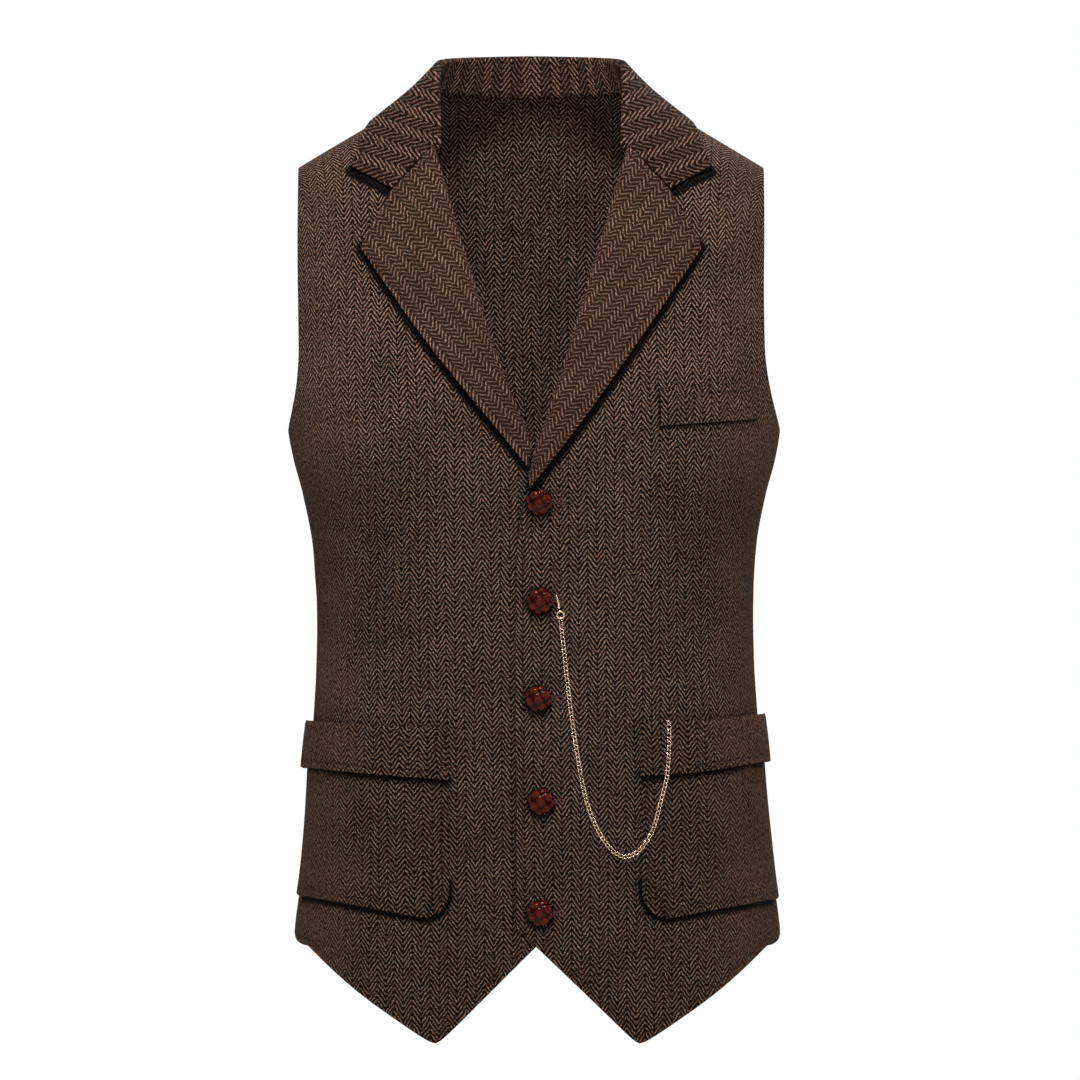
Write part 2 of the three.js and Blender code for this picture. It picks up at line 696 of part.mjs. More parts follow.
// Both halves of the collar, from the right notch round the back of the neck to the left notch
function addCollar() {
  const ends = [-1, 1].map((side) =>
    collarSections.map((row) => ({
      seam: collarPoint(row.seam, side),
      fold: collarPoint(row.fold, side),
      belly: collarPoint(row.belly, side),
      edge: collarPoint(row.edge, side),
      sharp: row.sharp,
    })),
  );
  const sections = [...ends[0], ...ends[1].reverse().slice(1)];
  const curves = Object.fromEntries(
    ["seam", "fold", "belly", "edge"].map((key) => [
      key,
      new THREE.CatmullRomCurve3(sections.map((row) => row[key]), false, "centripetal"),
    ]),
  );
  const grid = Array.from({ length: collar.steps + 1 }, (_, i) => {
    const t = i / collar.steps;
    const along = t * (sections.length - 1);
    const k = Math.min(Math.floor(along), sections.length - 2);
    const sharp = THREE.MathUtils.lerp(sections[k].sharp, sections[k + 1].sharp, along - k);
    return collarProfile({
      seam: curves.seam.getPoint(t),
      fold: curves.fold.getPoint(t),
      belly: curves.belly.getPoint(t),
      edge: curves.edge.getPoint(t),
      sharp,
    });
  });
  const normals = grid.map((row, i) =>
    row.map((_, j) => {
      const before = grid[Math.max(i - 1, 0)][j];
      const after = grid[Math.min(i + 1, grid.length - 1)][j];
      const across = row[Math.min(j + 1, row.length - 1)].clone().sub(row[Math.max(j - 1, 0)]);
      return after.clone().sub(before).cross(across).normalize();
    }),
  );
  const face = (out) =>
    grid.map((row, i) => row.map((p, j) => p.clone().addScaledVector(normals[i][j], out)));
  addPiece("collar", wallBetween(face(cloth / 2), face(-cloth / 2), false), tweedLight);
}

// A patch, flap or welt on the left or right front, from the edges of its outline
function addPatch(name, side, edges, base, rise, finish) {
  const lift = (point, i) => {
    const share = i / (edges.left.length - 1);
    return base + cloth + rise(share);
  };
  addPiece(name, bodyPanel(-1, edges, { lift, mirrored: side > 0 }), finish);
}

function addWelt() {
  const face = -1;
  const columns = welt.columns;
  const lower = (p) => ({ x: p.x, z: p.z - welt.drop });
  const seen = (p) => seenAt(face, p.x, p.z);
  const line = (from, to, count) => evenly(face, straightLine(from, to).map(seen), count);
  const edges = {
    top: line(welt.to, welt.from, columns),
    bottom: line(lower(welt.to), lower(welt.from), columns),
    left: line(welt.to, lower(welt.to), welt.rows),
    right: line(welt.from, lower(welt.from), welt.rows),
  };
  addPatch("chest_welt", 1, edges, layer, () => 0, tweedLight);
}

// A patch pocket: straight inner side and top, round lower corners, its outer end near the side seam
function addPocket(spec) {
  const face = -1;
  const { side } = spec;
  const seen = (p) => seenAt(face, side * p.x, p.z);
  const quarter = (t) => (t * Math.PI) / 2;
  const cornerAt = (t) => ({
    x: spec.innerX + pocket.corner * (1 - Math.cos(quarter(t))),
    z: spec.bottomInner.z + pocket.corner * (1 - Math.sin(quarter(t))),
  });
  const arc = (from, to) =>
    Array.from({ length: 13 }, (_, i) => cornerAt(THREE.MathUtils.lerp(from, to, i / 12)));
  const innerSide = joined(
    straightLine({ x: spec.innerX, z: pocket.topZ }, cornerAt(0)),
    arc(0, 0.5),
  ).map(seen);
  const cornerEnd = { x: spec.innerX + pocket.corner, z: spec.bottomInner.z };
  const bottomSeen = joined(arc(0.5, 1), smoothLine([cornerEnd, spec.bottomInner, spec.bottomOuter]));
  const end = onSide(side, spec.foot, pocket.sideAngle);
  const bottom = [...bottomSeen.map(seen), end];
  const topEnd = onSide(side, pocket.topZ, pocket.sideAngle);
  const topLine = [seen({ x: spec.innerX, z: pocket.topZ }), topEnd];
  const topFine = Array.from({ length: 49 }, (_, i) => ({
    s: THREE.MathUtils.lerp(topLine[0].s, topLine[1].s, i / 48),
    q: THREE.MathUtils.lerp(topLine[0].q, topLine[1].q, i / 48),
  }));
  const outerSide = straightLine({ x: 0, z: pocket.topZ }, { x: 0, z: spec.foot }).map((p) =>
    onSide(side, p.z, pocket.sideAngle),
  );
  const edges = {
    top: evenly(face, topFine.reverse(), pocket.columns),
    bottom: evenly(face, bottom.reverse(), pocket.columns),
    left: evenly(face, outerSide, pocket.rows),
    right: evenly(face, innerSide, pocket.rows),
  };
  addPatch("pocket_" + spec.name, side, edges, layer, () => 0, tweed);
}

// A flap hangs over its pocket's mouth and stands off it at the lower edge
function addFlap(spec, endZ) {
  const face = -1;
  const { side } = spec;
  const seen = (p) => seenAt(face, side * p.x, p.z);
  const { inner, outer } = spec.flapDrop;
  const first = spec.flapTop[0];
  const last = spec.flapTop[spec.flapTop.length - 1];
  const dropAt = (x) => THREE.MathUtils.mapLinear(x, first.x, last.x, inner, outer);
  const topSeen = smoothLine(spec.flapTop);
  const bottomSeen = topSeen.map((p) => ({ x: p.x, z: p.z - dropAt(p.x) }));
  const endTop = onSide(side, endZ, pocket.sideAngle);
  const endFoot = onSide(side, endZ - outer, pocket.sideAngle);
  const upright = (from, to) => straightLine(from, to).map(seen);
  const outerSide = straightLine({ x: 0, z: endZ }, { x: 0, z: endZ - outer }).map((p) =>
    onSide(side, p.z, pocket.sideAngle),
  );
  const edges = {
    top: evenly(face, [...topSeen.map(seen), endTop].reverse(), flap.columns),
    bottom: evenly(face, [...bottomSeen.map(seen), endFoot].reverse(), flap.columns),
    left: evenly(face, outerSide, flap.rows),
    right: evenly(face, upright(first, bottomSeen[0]), flap.rows),
  };
  const base = 2 * layer + cloth;
  addPatch("flap_" + spec.name, side, edges, base, (share) => flap.rise * share ** 2, tweedLight);
}

// A point over the lapping front, out millimetres off its cloth, and the way off it
function overFront(x, z, out) {
  const at = trueAt(-1, x, z);
  const lift = lapLift(surface(-1, at.s, at.q));
  return { point: place(-1, at, lift + out), way: normalAt(-1, at.s, at.q) };
}

function addButtons() {
  const profile = buttonProfile.map((p) => new THREE.Vector2(p.r, p.h));
  buttonPlaces.forEach((spot, i) => {
    const { point, way } = overFront(spot.x, spot.z, resting);
    const piece = addPiece("button_" + (i + 1), new THREE.LatheGeometry(profile, buttonSegments), leather);
    piece.position.copy(point);
    piece.quaternion.setFromUnitVectors(new THREE.Vector3(0, 1, 0), way);
  });
}

// A round section for the chain and the bar
function roundShape(radius, sides) {
  const corners = Array.from({ length: sides }, (_, i) => {
    const turn = (2 * Math.PI * i) / sides;
    return new THREE.Vector2(radius * Math.cos(turn), radius * Math.sin(turn));
  });
  return new THREE.Shape(corners);
}

function addChain() {
  const [from, to] = [bar.from, bar.to].map((p) => overFront(p.x, p.z, resting + bar.radius).point);
  const barLine = new THREE.LineCurve3(from, to);
  const tube = (line, radius, steps) =>
    new THREE.ExtrudeGeometry(roundShape(radius, chain.sides), {
      steps,
      extrudePath: line,
      curveSegments: 1,
    });
  addPiece("chain_bar", tube(barLine, bar.radius, 2), brass);
  const { point, way } = overFront(ring.at.x, ring.at.z, resting + ring.wire);
  const loop = addPiece("chain_ring", new THREE.TorusGeometry(ring.radius, ring.wire, 8, 16), brass);
  loop.position.copy(point);
  loop.quaternion.setFromUnitVectors(new THREE.Vector3(0, 0, 1), way);
  const route = chainRoute.map((p) => overFront(p.x, p.z, p.out).point);
  const line = new THREE.CatmullRomCurve3(route, false, "centripetal");
  addPiece("watch_chain", tube(line, chain.radius, chain.steps), brass);
}

addFront(-1);
addFront(1);
addBack();
addLapel(-1);
addLapel(1);
addCollar();
addWelt();
pockets.forEach(addPocket);
pockets.forEach((spec, i) => addFlap(spec, pocket.flapEndZ[i]));
addButtons();
addChain();

export default waistcoat;
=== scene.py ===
import math

import bpy
import numpy as np
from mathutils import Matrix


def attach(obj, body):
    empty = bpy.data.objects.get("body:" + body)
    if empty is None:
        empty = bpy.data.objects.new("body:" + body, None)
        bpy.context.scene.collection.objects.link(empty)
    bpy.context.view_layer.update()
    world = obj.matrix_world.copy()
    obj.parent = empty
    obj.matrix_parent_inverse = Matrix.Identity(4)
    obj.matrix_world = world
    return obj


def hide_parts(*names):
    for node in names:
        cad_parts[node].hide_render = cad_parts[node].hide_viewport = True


# A herringbone tweed waistcoat, dressed on its plain solids. Lengths are in millimetres
# until a mesh is made; the front faces -Y and +X is the wearer's left.

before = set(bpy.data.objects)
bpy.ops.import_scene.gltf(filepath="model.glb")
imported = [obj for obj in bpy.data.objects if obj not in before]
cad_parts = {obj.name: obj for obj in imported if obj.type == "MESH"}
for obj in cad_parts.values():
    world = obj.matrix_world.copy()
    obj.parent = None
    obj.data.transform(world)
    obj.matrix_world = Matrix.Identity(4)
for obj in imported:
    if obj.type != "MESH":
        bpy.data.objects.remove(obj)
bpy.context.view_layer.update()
mm = 0.001
scene = bpy.context.scene

# camera, straight ahead through a long lens

shot = {"away": 24.0, "across": 0.81, "x": 0.00375, "z": -0.3375, "sensor": 36}

lens = bpy.data.cameras.new("Straight ahead")
lens.sensor_width = shot["sensor"]
lens.lens = shot["sensor"] * shot["away"] / shot["across"]
lens.clip_end = 100
camera = bpy.data.objects.new("Straight ahead", lens)
camera.location = (shot["x"], -shot["away"], shot["z"])
camera.rotation_euler = (math.pi / 2, 0, 0)
scene.collection.objects.link(camera)
scene.camera = camera
print("camera set")


# the body that the cloth lies on

wall = 2.0  # cloth with its interlining
layer = 0.6  # gap between a piece and the cloth under it
squareness = 2.5  # of the body's level sections: 2 is an ellipse
shoulder = {"tipX": 174, "tipZ": -57, "slope": 0.605, "neckX": 80, "crown": 25, "roll": 70, "lean": -3}

# height, half width, depth in front, depth behind, sideways lean
bodyRows = np.array([
    (60, 186, 56, 76, -3), (0, 186, 66, 86, -3), (-60, 186, 88, 101, -3),
    (-120, 186, 106, 111, -3), (-190, 186, 120, 114, -2.6), (-230, 185.6, 125, 113, -1.3),
    (-255, 184.5, 126, 112, -0.5), (-278, 180.4, 125, 110, -0.4), (-304, 173.4, 121, 107, -0.5),
    (-341, 166.4, 115, 102, -0.3), (-397, 163.5, 110, 96, 0), (-454, 165.2, 110, 97, 0.4),
    (-510, 169.2, 112, 103, 1), (-547, 172.2, 114, 108, 1.4), (-585, 176, 116, 112, 1.7),
    (-629, 182, 119, 116, 1.9), (-740, 190, 124, 120, 1.9),
], float)[::-1]


def bodyAt(z):
    # half width, front depth, back depth and lean at a height, by a cubic through the rows
    high = bodyRows[:, 0]
    slope = np.empty_like(bodyRows)
    slope[1:-1] = (bodyRows[2:] - bodyRows[:-2]) / (high[2:] - high[:-2])[:, None]
    slope[0] = (bodyRows[1] - bodyRows[0]) / (high[1] - high[0])
    slope[-1] = (bodyRows[-1] - bodyRows[-2]) / (high[-1] - high[-2])
    z = np.clip(np.asarray(z, float), high[0], high[-1])
    i = np.clip(np.searchsorted(high, z) - 1, 0, len(high) - 2)
    span = (high[i + 1] - high[i])[..., None]
    t = (z - high[i])[..., None] / span
    bend = t * t * (3 - 2 * t)
    row = (bodyRows[i] * (1 - bend) + bodyRows[i + 1] * bend
           + span * slope[i] * t * (1 - t) ** 2 - span * slope[i + 1] * t * t * (1 - t))
    return row[..., 1], row[..., 2], row[..., 3], row[..., 4]


def shoulderZ(x):
    away = np.hypot(x - shoulder["lean"], shoulder["crown"])
    return shoulder["tipZ"] + shoulder["slope"] * (shoulder["tipX"] - away)


def dropOf(q):
    # height lost after going q down the cloth from the shoulder line
    roll = shoulder["roll"]
    quarter = roll * math.pi / 2
    return np.where(q > quarter, roll + q - quarter, roll * (1 - np.cos(np.clip(q, 0, quarter) / roll)))


def arcOf(drop):
    roll = shoulder["roll"]
    bent = roll * np.arccos(np.clip(1 - drop / roll, 0, 1))
    return np.where(drop > roll, drop - roll + roll * math.pi / 2, bent)


def surface(face, s, q):
    # a point of the body: face -1 before and 1 behind, s the angle from straight ahead
    s, q = np.broadcast_arrays(np.asarray(s, float), np.asarray(q, float))
    drop = dropOf(q)
    z = -drop
    for _ in range(6):
        half, front, back, lean = bodyAt(z)
        depth = front if face < 0 else back
        across = np.abs(np.sin(s)) / half
        along = np.abs(np.cos(s)) / depth
        radius = (across**squareness + along**squareness) ** (-1 / squareness)
        x = lean + radius * np.sin(s)
        ahead = radius * np.cos(s)
        z = shoulderZ(x) - drop
    rolled = np.where(drop >= shoulder["roll"], 1, np.sin(np.clip(q / shoulder["roll"], 0, math.pi / 2)))
    return np.stack([x, face * (ahead * rolled + 0.15), z], axis=-1)


def normalAt(face, s, q):
    across = surface(face, s + 0.002, q) - surface(face, s - 0.002, q)
    down = surface(face, s, q + 0.5) - surface(face, s, np.maximum(q - 0.5, 0))
    way = np.cross(across, down) * face
    return way / np.linalg.norm(way, axis=-1, keepdims=True)


def seenAt(face, x, z):
    # body coordinates of a point seen from ahead, x from the leaning middle
    half, front, back, lean = bodyAt(z)
    depth = front if face < 0 else back
    part = np.minimum(np.abs(x) / half, 1)
    ahead = depth * (1 - part**squareness) ** (1 / squareness)
    return np.stack([np.arctan2(x, ahead), arcOf(shoulderZ(x + lean) - z)], axis=-1)


def trueAt(face, x, z):
    return seenAt(face, x - bodyAt(z)[3], z)


def onSide(side, z, angle=90):
    # on or near the side seam, the angle in degrees from straight ahead
    half, _, _, lean = bodyAt(z)
    reach = math.sin(math.radians(angle)) * half
    s = np.full(np.shape(z), side * math.radians(angle))
    return np.stack([s, arcOf(shoulderZ(side * reach + lean) - np.asarray(z, float))], axis=-1)


def grainAt(face, s, q):
    # where a point lies in the flat cloth: round the body from the middle, and down
    points = surface(face, s, q)
    half, front, back, _ = bodyAt(points[..., 2])
    depth = front if face < 0 else back
    rolled = np.clip(np.sin(np.clip(q / shoulder["roll"], 0, math.pi / 2)), 0.02, 1)
    steps = np.linspace(0, 1, 33)
    turn = s[..., None] * steps
    radius = ((np.abs(np.sin(turn)) / half[..., None]) ** squareness
              + (np.abs(np.cos(turn)) / depth[..., None]) ** squareness) ** (-1 / squareness)
    x = radius * np.sin(turn)
    y = radius * np.cos(turn) * rolled[..., None]
    around = np.hypot(np.diff(x, axis=-1), np.diff(y, axis=-1)).sum(-1) * np.sign(s)
    return np.stack([around, points[..., 2] - (q - dropOf(q))], axis=-1)


def smooth(x, low, high):
    t = np.clip((x - low) / (high - low), 0, 1)
    return t * t * (3 - 2 * t)


# creases on the front (-1) and back (1), listed: from x, z to x, z, then width and height,
# negative for a trough

creases = {
    -1: [
        (-14, -300, -62, -352, 9, -1), (20, -312, 70, -338, 10, -0.9), (-20, -378, -80, -392, 9, -0.8),
        (26, -372, 84, -402, 11, -0.8), (-118, -262, -158, -330, 12, -1.6),
        (-152, -332, -102, -360, 15, -3), (-132, -300, -164, -372, 9, 1),
        (-96, -318, -150, -372, 9, -1), (-70, -402, -152, -418, 11, -0.9),
        (118, -268, 160, -322, 12, -1.5), (86, -318, 158, -332, 15, -3),
        (104, -330, 158, -362, 9, -1.1), (92, -392, 156, -404, 12, -0.9),
        (128, -352, 162, -392, 8, 0.9), (-160, -120, -118, -210, 13, -1.4),
        (162, -128, 126, -196, 13, -1.2), (-130, -452, -62, -448, 12, -1.9),
        (8, -456, 38, -464, 10, -1.2), (-18, -354, 38, -338, 14, 2.5), (-30, -452, -74, -466, 10, -0.7),
        (30, -520, 70, -560, 12, -0.9), (-24, -540, -58, -600, 12, -0.9),
        (-36, -628, -92, -664, 10, 0.9), (40, -610, 98, -672, 10, -0.9), (22, -640, 66, -694, 9, 0.8),
    ],
    1: [
        (-92, -60, -146, -170, 15, -1.8), (92, -72, 142, -168, 15, -1.7), (-60, -40, 62, -52, 12, 1.2),
        (-120, -230, -40, -262, 14, -1.4), (34, -250, 128, -226, 13, -1.5),
        (-140, -318, -30, -352, 12, -1.8), (18, -362, 138, -334, 12, -1.7),
        (-118, -380, -14, -396, 9, 1.2), (40, -402, 126, -384, 10, -1.3),
        (-96, -432, -20, -424, 10, -1.1), (-74, -520, -92, -616, 15, -1.5),
        (66, -506, 84, -620, 15, -1.6), (2, -540, -6, -625, 16, 1.4),
    ],
}


def ease(face, points):
    # how far the body's cloth stands off its solid at these points
    x, z = points[..., 0], points[..., 2]
    out = np.zeros(x.shape)
    for fromX, fromZ, toX, toZ, width, height in creases[face]:
        start, way = np.array([fromX, fromZ], float), np.array([toX - fromX, toZ - fromZ], float)
        long = np.hypot(*way)
        away = np.stack([x - start[0], z - start[1]], axis=-1)
        along = (away @ way) / long**2
        bow = 0.07 * long * np.sin(np.pi * np.clip(along, 0, 1))
        beside = (away @ np.array([-way[1], way[0]])) / long - bow
        spread = width * (0.75 + 0.5 * np.clip(along, 0, 1))
        fade = smooth(along, -0.25, 0.25) * (1 - smooth(along, 0.65, 1.2))
        out += height * np.exp(-((beside / spread) ** 2)) * fade
    slow = np.sin(x * 0.043 + 1.3 * face) * np.sin(z * 0.031 + 0.7)
    return out + 0.35 * (slow + 0.6 * np.sin(x * 0.021 - z * 0.052 + face))


# lines and grids of body coordinates

def curve(points, count=24):
    # smooth line through points of the plane, with even tangents
    p = np.array(points, float)
    p = np.vstack([p[:1], p, p[-1:]])
    t = np.linspace(0, 1, count + 1)[:, None]
    parts = []
    for a, b, c, d in zip(p[:-3], p[1:-2], p[2:-1], p[3:]):
        v, w = (c - a) / 2, (d - b) / 2
        parts.append((2 * b - 2 * c + v + w) * t**3 + (-3 * b + 3 * c - 2 * v - w) * t**2 + v * t + b)
    return np.vstack([part[:-1] for part in parts] + [p[-2:-1]])


def line(start, end, count=24):
    return np.linspace(start, end, count + 1)


def joined(*lines):
    return np.vstack([lines[0]] + [part[1:] for part in lines[1:]])


def lengths(points):
    # distance along a line of points from its first one
    return np.concatenate([[0], np.cumsum(np.linalg.norm(np.diff(points, axis=0), axis=1))])


def seen(face, points, side=1):
    points = np.asarray(points, float)
    return seenAt(face, side * points[..., 0], points[..., 1])


def parts(count, long, start=True, end=True):
    # even shares of a line, with close ones by a turned edge
    close = np.array([0.35, 0.9, 1.8]) / long
    inner = np.linspace(0, 1, count + 1)
    shares = [inner] + ([close] if start else []) + ([1 - close] if end else [])
    return np.unique(np.round(np.concatenate(shares), 6))


def spaced(face, at, shares, levelShare=1.0):
    # the line again at shares of its length over the cloth
    points = surface(face, at[:, 0], at[:, 1])
    way = np.linalg.norm(np.diff(points, axis=0), axis=1)
    down = np.minimum(np.abs(np.diff(at[:, 1])), way)
    far = np.concatenate([[0], np.cumsum(levelShare * way + (1 - levelShare) * down)])
    want = shares * far[-1]
    return np.stack([np.interp(want, far, at[:, 0]), np.interp(want, far, at[:, 1])], axis=-1)


def filled(top, bottom, left, right):
    # fills four edges with a grid, rows from top to bottom
    def shares(edge):
        far = lengths(edge * [120, 1])
        return far / far[-1]
    v = ((shares(left) + shares(right)) / 2)[:, None, None]
    u = ((shares(top) + shares(bottom)) / 2)[None, :, None]
    corners = ((1 - u) * (1 - v) * top[0] + u * (1 - v) * top[-1]
               + (1 - u) * v * bottom[0] + u * v * bottom[-1])
    rows = (1 - v) * top[None] + v * bottom[None]
    return rows + (1 - u) * left[:, None] + u * right[:, None] - corners


def distanceTo(points, way):
    # least distance of each point to a line of 3-D points
    flat = points.reshape(-1, 3)
    best = np.full(len(flat), np.inf)
    for a, b in zip(way[:-1], way[1:]):
        d = b - a
        t = np.clip((flat - a) @ d / max(d @ d, 1e-9), 0, 1)
        best = np.minimum(best, np.linalg.norm(flat - a - t[:, None] * d, axis=1))
    return best.reshape(points.shape[:-1])


def bodyCoords(points):
    # body coordinates of points near the cloth
    x, y, z = points[..., 0], points[..., 1], points[..., 2]
    drop = shoulderZ(x) - z
    q = arcOf(np.maximum(drop, 0))
    rolled = np.where(drop >= shoulder["roll"], 1, np.maximum(np.sin(q / shoulder["roll"]), 0.05))
    return np.stack([np.arctan2(x - bodyAt(z)[3], np.abs(y) / rolled), q], axis=-1)


def within(at, outline):
    # which body coordinates lie inside a closed outline
    x, y = at[..., 0], at[..., 1]
    found = np.zeros(x.shape, bool)
    for (a, b), (c, d) in zip(outline, np.roll(outline, -1, axis=0)):
        crossing = (b > y) != (d > y)
        found ^= crossing & (x < (c - a) * (y - b) / (d - b if d != b else 1e-9) + a)
    return found


def beyondBody(points):
    # how far points lie outside the body, and the way out
    def value(p):
        half, front, behind, lean = bodyAt(p[..., 2])
        part = np.minimum(np.abs(p[..., 0] - lean) / half, 0.98)
        depth = np.where(p[..., 1] < 0, front, behind) * (1 - part**squareness) ** (1 / squareness)
        roll = shoulder["roll"]
        rise = np.maximum(roll - (shoulderZ(p[..., 0]) - p[..., 2]), 0) / roll
        return np.hypot(p[..., 1] / depth, rise) - 1
    here = value(points)
    way = np.stack([value(points + step) - value(points - step) for step in 0.5 * np.eye(3)], axis=-1)
    steep = np.linalg.norm(way, axis=-1, keepdims=True)
    return here / steep[..., 0], way / steep


def outlineOf(grid):
    return np.vstack([grid[0], grid[1:, -1], grid[-1, -2::-1], grid[-2:0:-1, 0]])


def coverShade(grid, base, covers):
    # distance from what lies over the cloth, in its shade's widths: 0 at its edge, 1 where it ends;
    # and where the shade starts to fade, in widths too
    shade, start = np.full(base.shape[:2], 3.0), np.full(base.shape[:2], 0.2)
    for outline, edges in covers:
        inside = within(grid, outline)
        for way, width, fading in edges:
            off, out = beyondBody(way)
            away = distanceTo(base, way - out * off[:, None]) / width
            away = np.where(inside & (away < 1), -away, np.where(inside, 3, away))
            start = np.where(away < shade, fading, start)
            shade = np.minimum(shade, away)
    return np.stack([np.clip(shade, -3, 3), start], axis=-1)


def boxOf(grain):
    # the least rectangle that the flat cut fits in, width and length, and the cut's area
    points = grain.reshape(-1, 2)
    sizes = []
    for angle in np.radians(np.arange(0, 90, 1.0)):
        turn = points @ np.array([[math.cos(angle), -math.sin(angle)], [math.sin(angle), math.cos(angle)]])
        sizes.append(sorted(np.ptp(turn, axis=0)))
    across = grain[1:, 1:] - grain[:-1, :-1], grain[1:, :-1] - grain[:-1, 1:]
    area = 0.5 * np.abs(across[0][..., 0] * across[1][..., 1] - across[0][..., 1] * across[1][..., 0]).sum()
    return min(sizes, key=lambda size: size[0] * size[1]), area


# meshes

def meshObject(name, points, faces, layers=None, material=None):
    # points in millimetres; layers holds uv maps as one (u, v) for each point, in millimetres
    mesh = bpy.data.meshes.new(name)
    mesh.from_pydata((np.asarray(points) * mm).tolist(), [], [list(map(int, f)) for f in faces])
    corner = np.empty(len(mesh.loops), int)
    mesh.loops.foreach_get("vertex_index", corner)
    for key, values in (layers or {}).items():
        uv = mesh.uv_layers.new(name=key)
        uv.data.foreach_set("uv", (np.asarray(values)[corner] * mm).ravel())
    mesh.shade_smooth()
    mesh.validate()
    piece = bpy.data.objects.new(name, mesh)
    scene.collection.objects.link(piece)
    if material:
        mesh.materials.append(material)
    return piece


def shell(name, outer, inner, grain, border, material, cover=None):
    # a closed wall between two grids, with the weave and the turned border on it
    rows, columns = outer.shape[:2]
    points = np.vstack([outer.reshape(-1, 3), inner.reshape(-1, 3)])
    ids = np.arange(rows * columns).reshape(rows, columns)
    a, b, c, d = (x.ravel() for x in (ids[:-1, :-1], ids[1:, :-1], ids[1:, 1:], ids[:-1, 1:]))
    faces = [np.stack([a, b, c, d], 1), np.stack([a, d, c, b], 1) + rows * columns]
    rim = np.concatenate([ids[:-1, 0], ids[-1, :-1], ids[:0:-1, -1], ids[0, :0:-1]])
    nxt = np.roll(rim, -1)
    faces.append(np.stack([nxt, rim, rim + rows * columns, nxt + rows * columns], 1))
    faces = np.vstack(faces)
    p = points[faces]
    volume = (np.cross(p[:, 0], p[:, 1]) * p[:, 2]).sum() + (np.cross(p[:, 0], p[:, 2]) * p[:, 3]).sum()
    if volume < 0:
        faces = faces[:, ::-1]
    clear = np.tile([3.0, 0.2], (rows * columns, 1))
    maps = {"weave": np.vstack([grain.reshape(-1, 2)] * 2),
            "border": np.tile(np.stack([border, grain[..., 1]], -1).reshape(-1, 2), (2, 1)),
            "cover": np.vstack([clear if cover is None else cover.reshape(-1, 2), clear])}
    return meshObject(name, points, faces, maps, material)


allEdges = ("top", "bottom", "left", "right")


def edgeOf(points, side):
    return {"top": points[0], "bottom": points[-1], "left": points[:, 0], "right": points[:, -1]}[side]


def fromEdges(points, sides):
    # least distance of a grid's points to its named edges
    return np.min([distanceTo(points, edgeOf(points, side)) for side in sides], axis=0)


def drawnBack(points, sides, radius):
    # how far a wall's face draws back where its edges are rounded
    inside = np.clip(radius - fromEdges(points, sides), 0, radius)
    return radius - np.sqrt(radius**2 - inside**2)


cloth = {"rounding": 0.95, "tuck": 0.45}


def clothPiece(name, face, grid, lift, material, turned=allEdges, shift=(0, 0), covers=()):
    # cloth over the body: lift is how far its outside lies off the body, as a function or as values
    s, q = grid[..., 0], grid[..., 1]
    base, normal = surface(face, s, q), normalAt(face, s, q)
    out = (lift(base) if callable(lift) else lift) + ease(face, base)
    dip = drawnBack(base, allEdges, cloth["rounding"])
    # the shoulder and side seams close, so that no light shows through them
    tuck = np.where((np.abs(np.abs(s) - math.pi / 2) < 1e-4) | (np.abs(q) < 1e-3), -cloth["tuck"] * face, 0)
    seam = base + np.stack([0 * tuck, tuck, 0 * tuck], axis=-1)
    outer = seam + normal * (out - dip)[..., None]
    inner = seam + normal * (out - wall + dip)[..., None]
    border = fromEdges(base, turned)
    grain = grainAt(face, s, q) + np.array(shift)
    piece = shell(name + "_cloth", outer, inner, grain, border, material, coverShade(grid, base, covers))
    sew(name, outer, base, turned, grain, border)
    dress(piece, "tweed", name)
    return outer


# finishes

def ink(*shown):
    # a colour as seen, 0 to 255, made linear
    part = np.array(shown) / 255
    return (*np.where(part > 0.04045, ((part + 0.055) / 1.055) ** 2.4, part / 12.92).tolist(), 1.0)


def grow(tree, kind, *inputs, out=0, **settings):
    # adds a node and returns an output; each input is a value or another node's output
    made = tree.nodes.new(kind)
    for key, value in settings.items():
        setattr(made, key, value)
    for socket, value in zip(made.inputs, inputs):
        if isinstance(value, bpy.types.NodeSocket):
            tree.links.new(value, socket)
        elif value is not None:
            socket.default_value = value
    return made.outputs[out]


def sums(tree, operation, *values):
    return grow(tree, "ShaderNodeMath", *values, operation=operation)


def product(tree, *values):
    # everything multiplied together
    total = values[0]
    for value in values[1:]:
        total = sums(tree, "MULTIPLY", total, value)
    return total


def parted(tree, vector):
    # x, y and z of a vector
    made = tree.nodes.new("ShaderNodeSeparateXYZ")
    tree.links.new(vector, made.inputs[0])
    return made.outputs


def ramp(tree, value, low, high, toLow=0.0, toHigh=1.0, kind="SMOOTHSTEP"):
    return grow(tree, "ShaderNodeMapRange", value, low, high, toLow, toHigh, interpolation_type=kind)


def blended(tree, share, a, b, mode="MIX"):
    made = tree.nodes.new("ShaderNodeMix")
    made.data_type, made.blend_type = "RGBA", mode
    for socket, value in ((made.inputs[0], share), (made.inputs[6], a), (made.inputs[7], b)):
        if isinstance(value, bpy.types.NodeSocket):
            tree.links.new(value, socket)
        else:
            socket.default_value = value
    return made.outputs[2]


def finish(name, **values):
    material = bpy.data.materials.new(name)
    material.use_nodes = True
    shader = material.node_tree.nodes["Principled BSDF"]
    for key, value in values.items():
        shader.inputs[key].default_value = value
    return material, material.node_tree, shader


weave = {"column": 6.9, "stroke": 4.2, "slope": 1.42, "groove": 5.2, "border": 1.0, "brushed": (0.118, 0.176)}


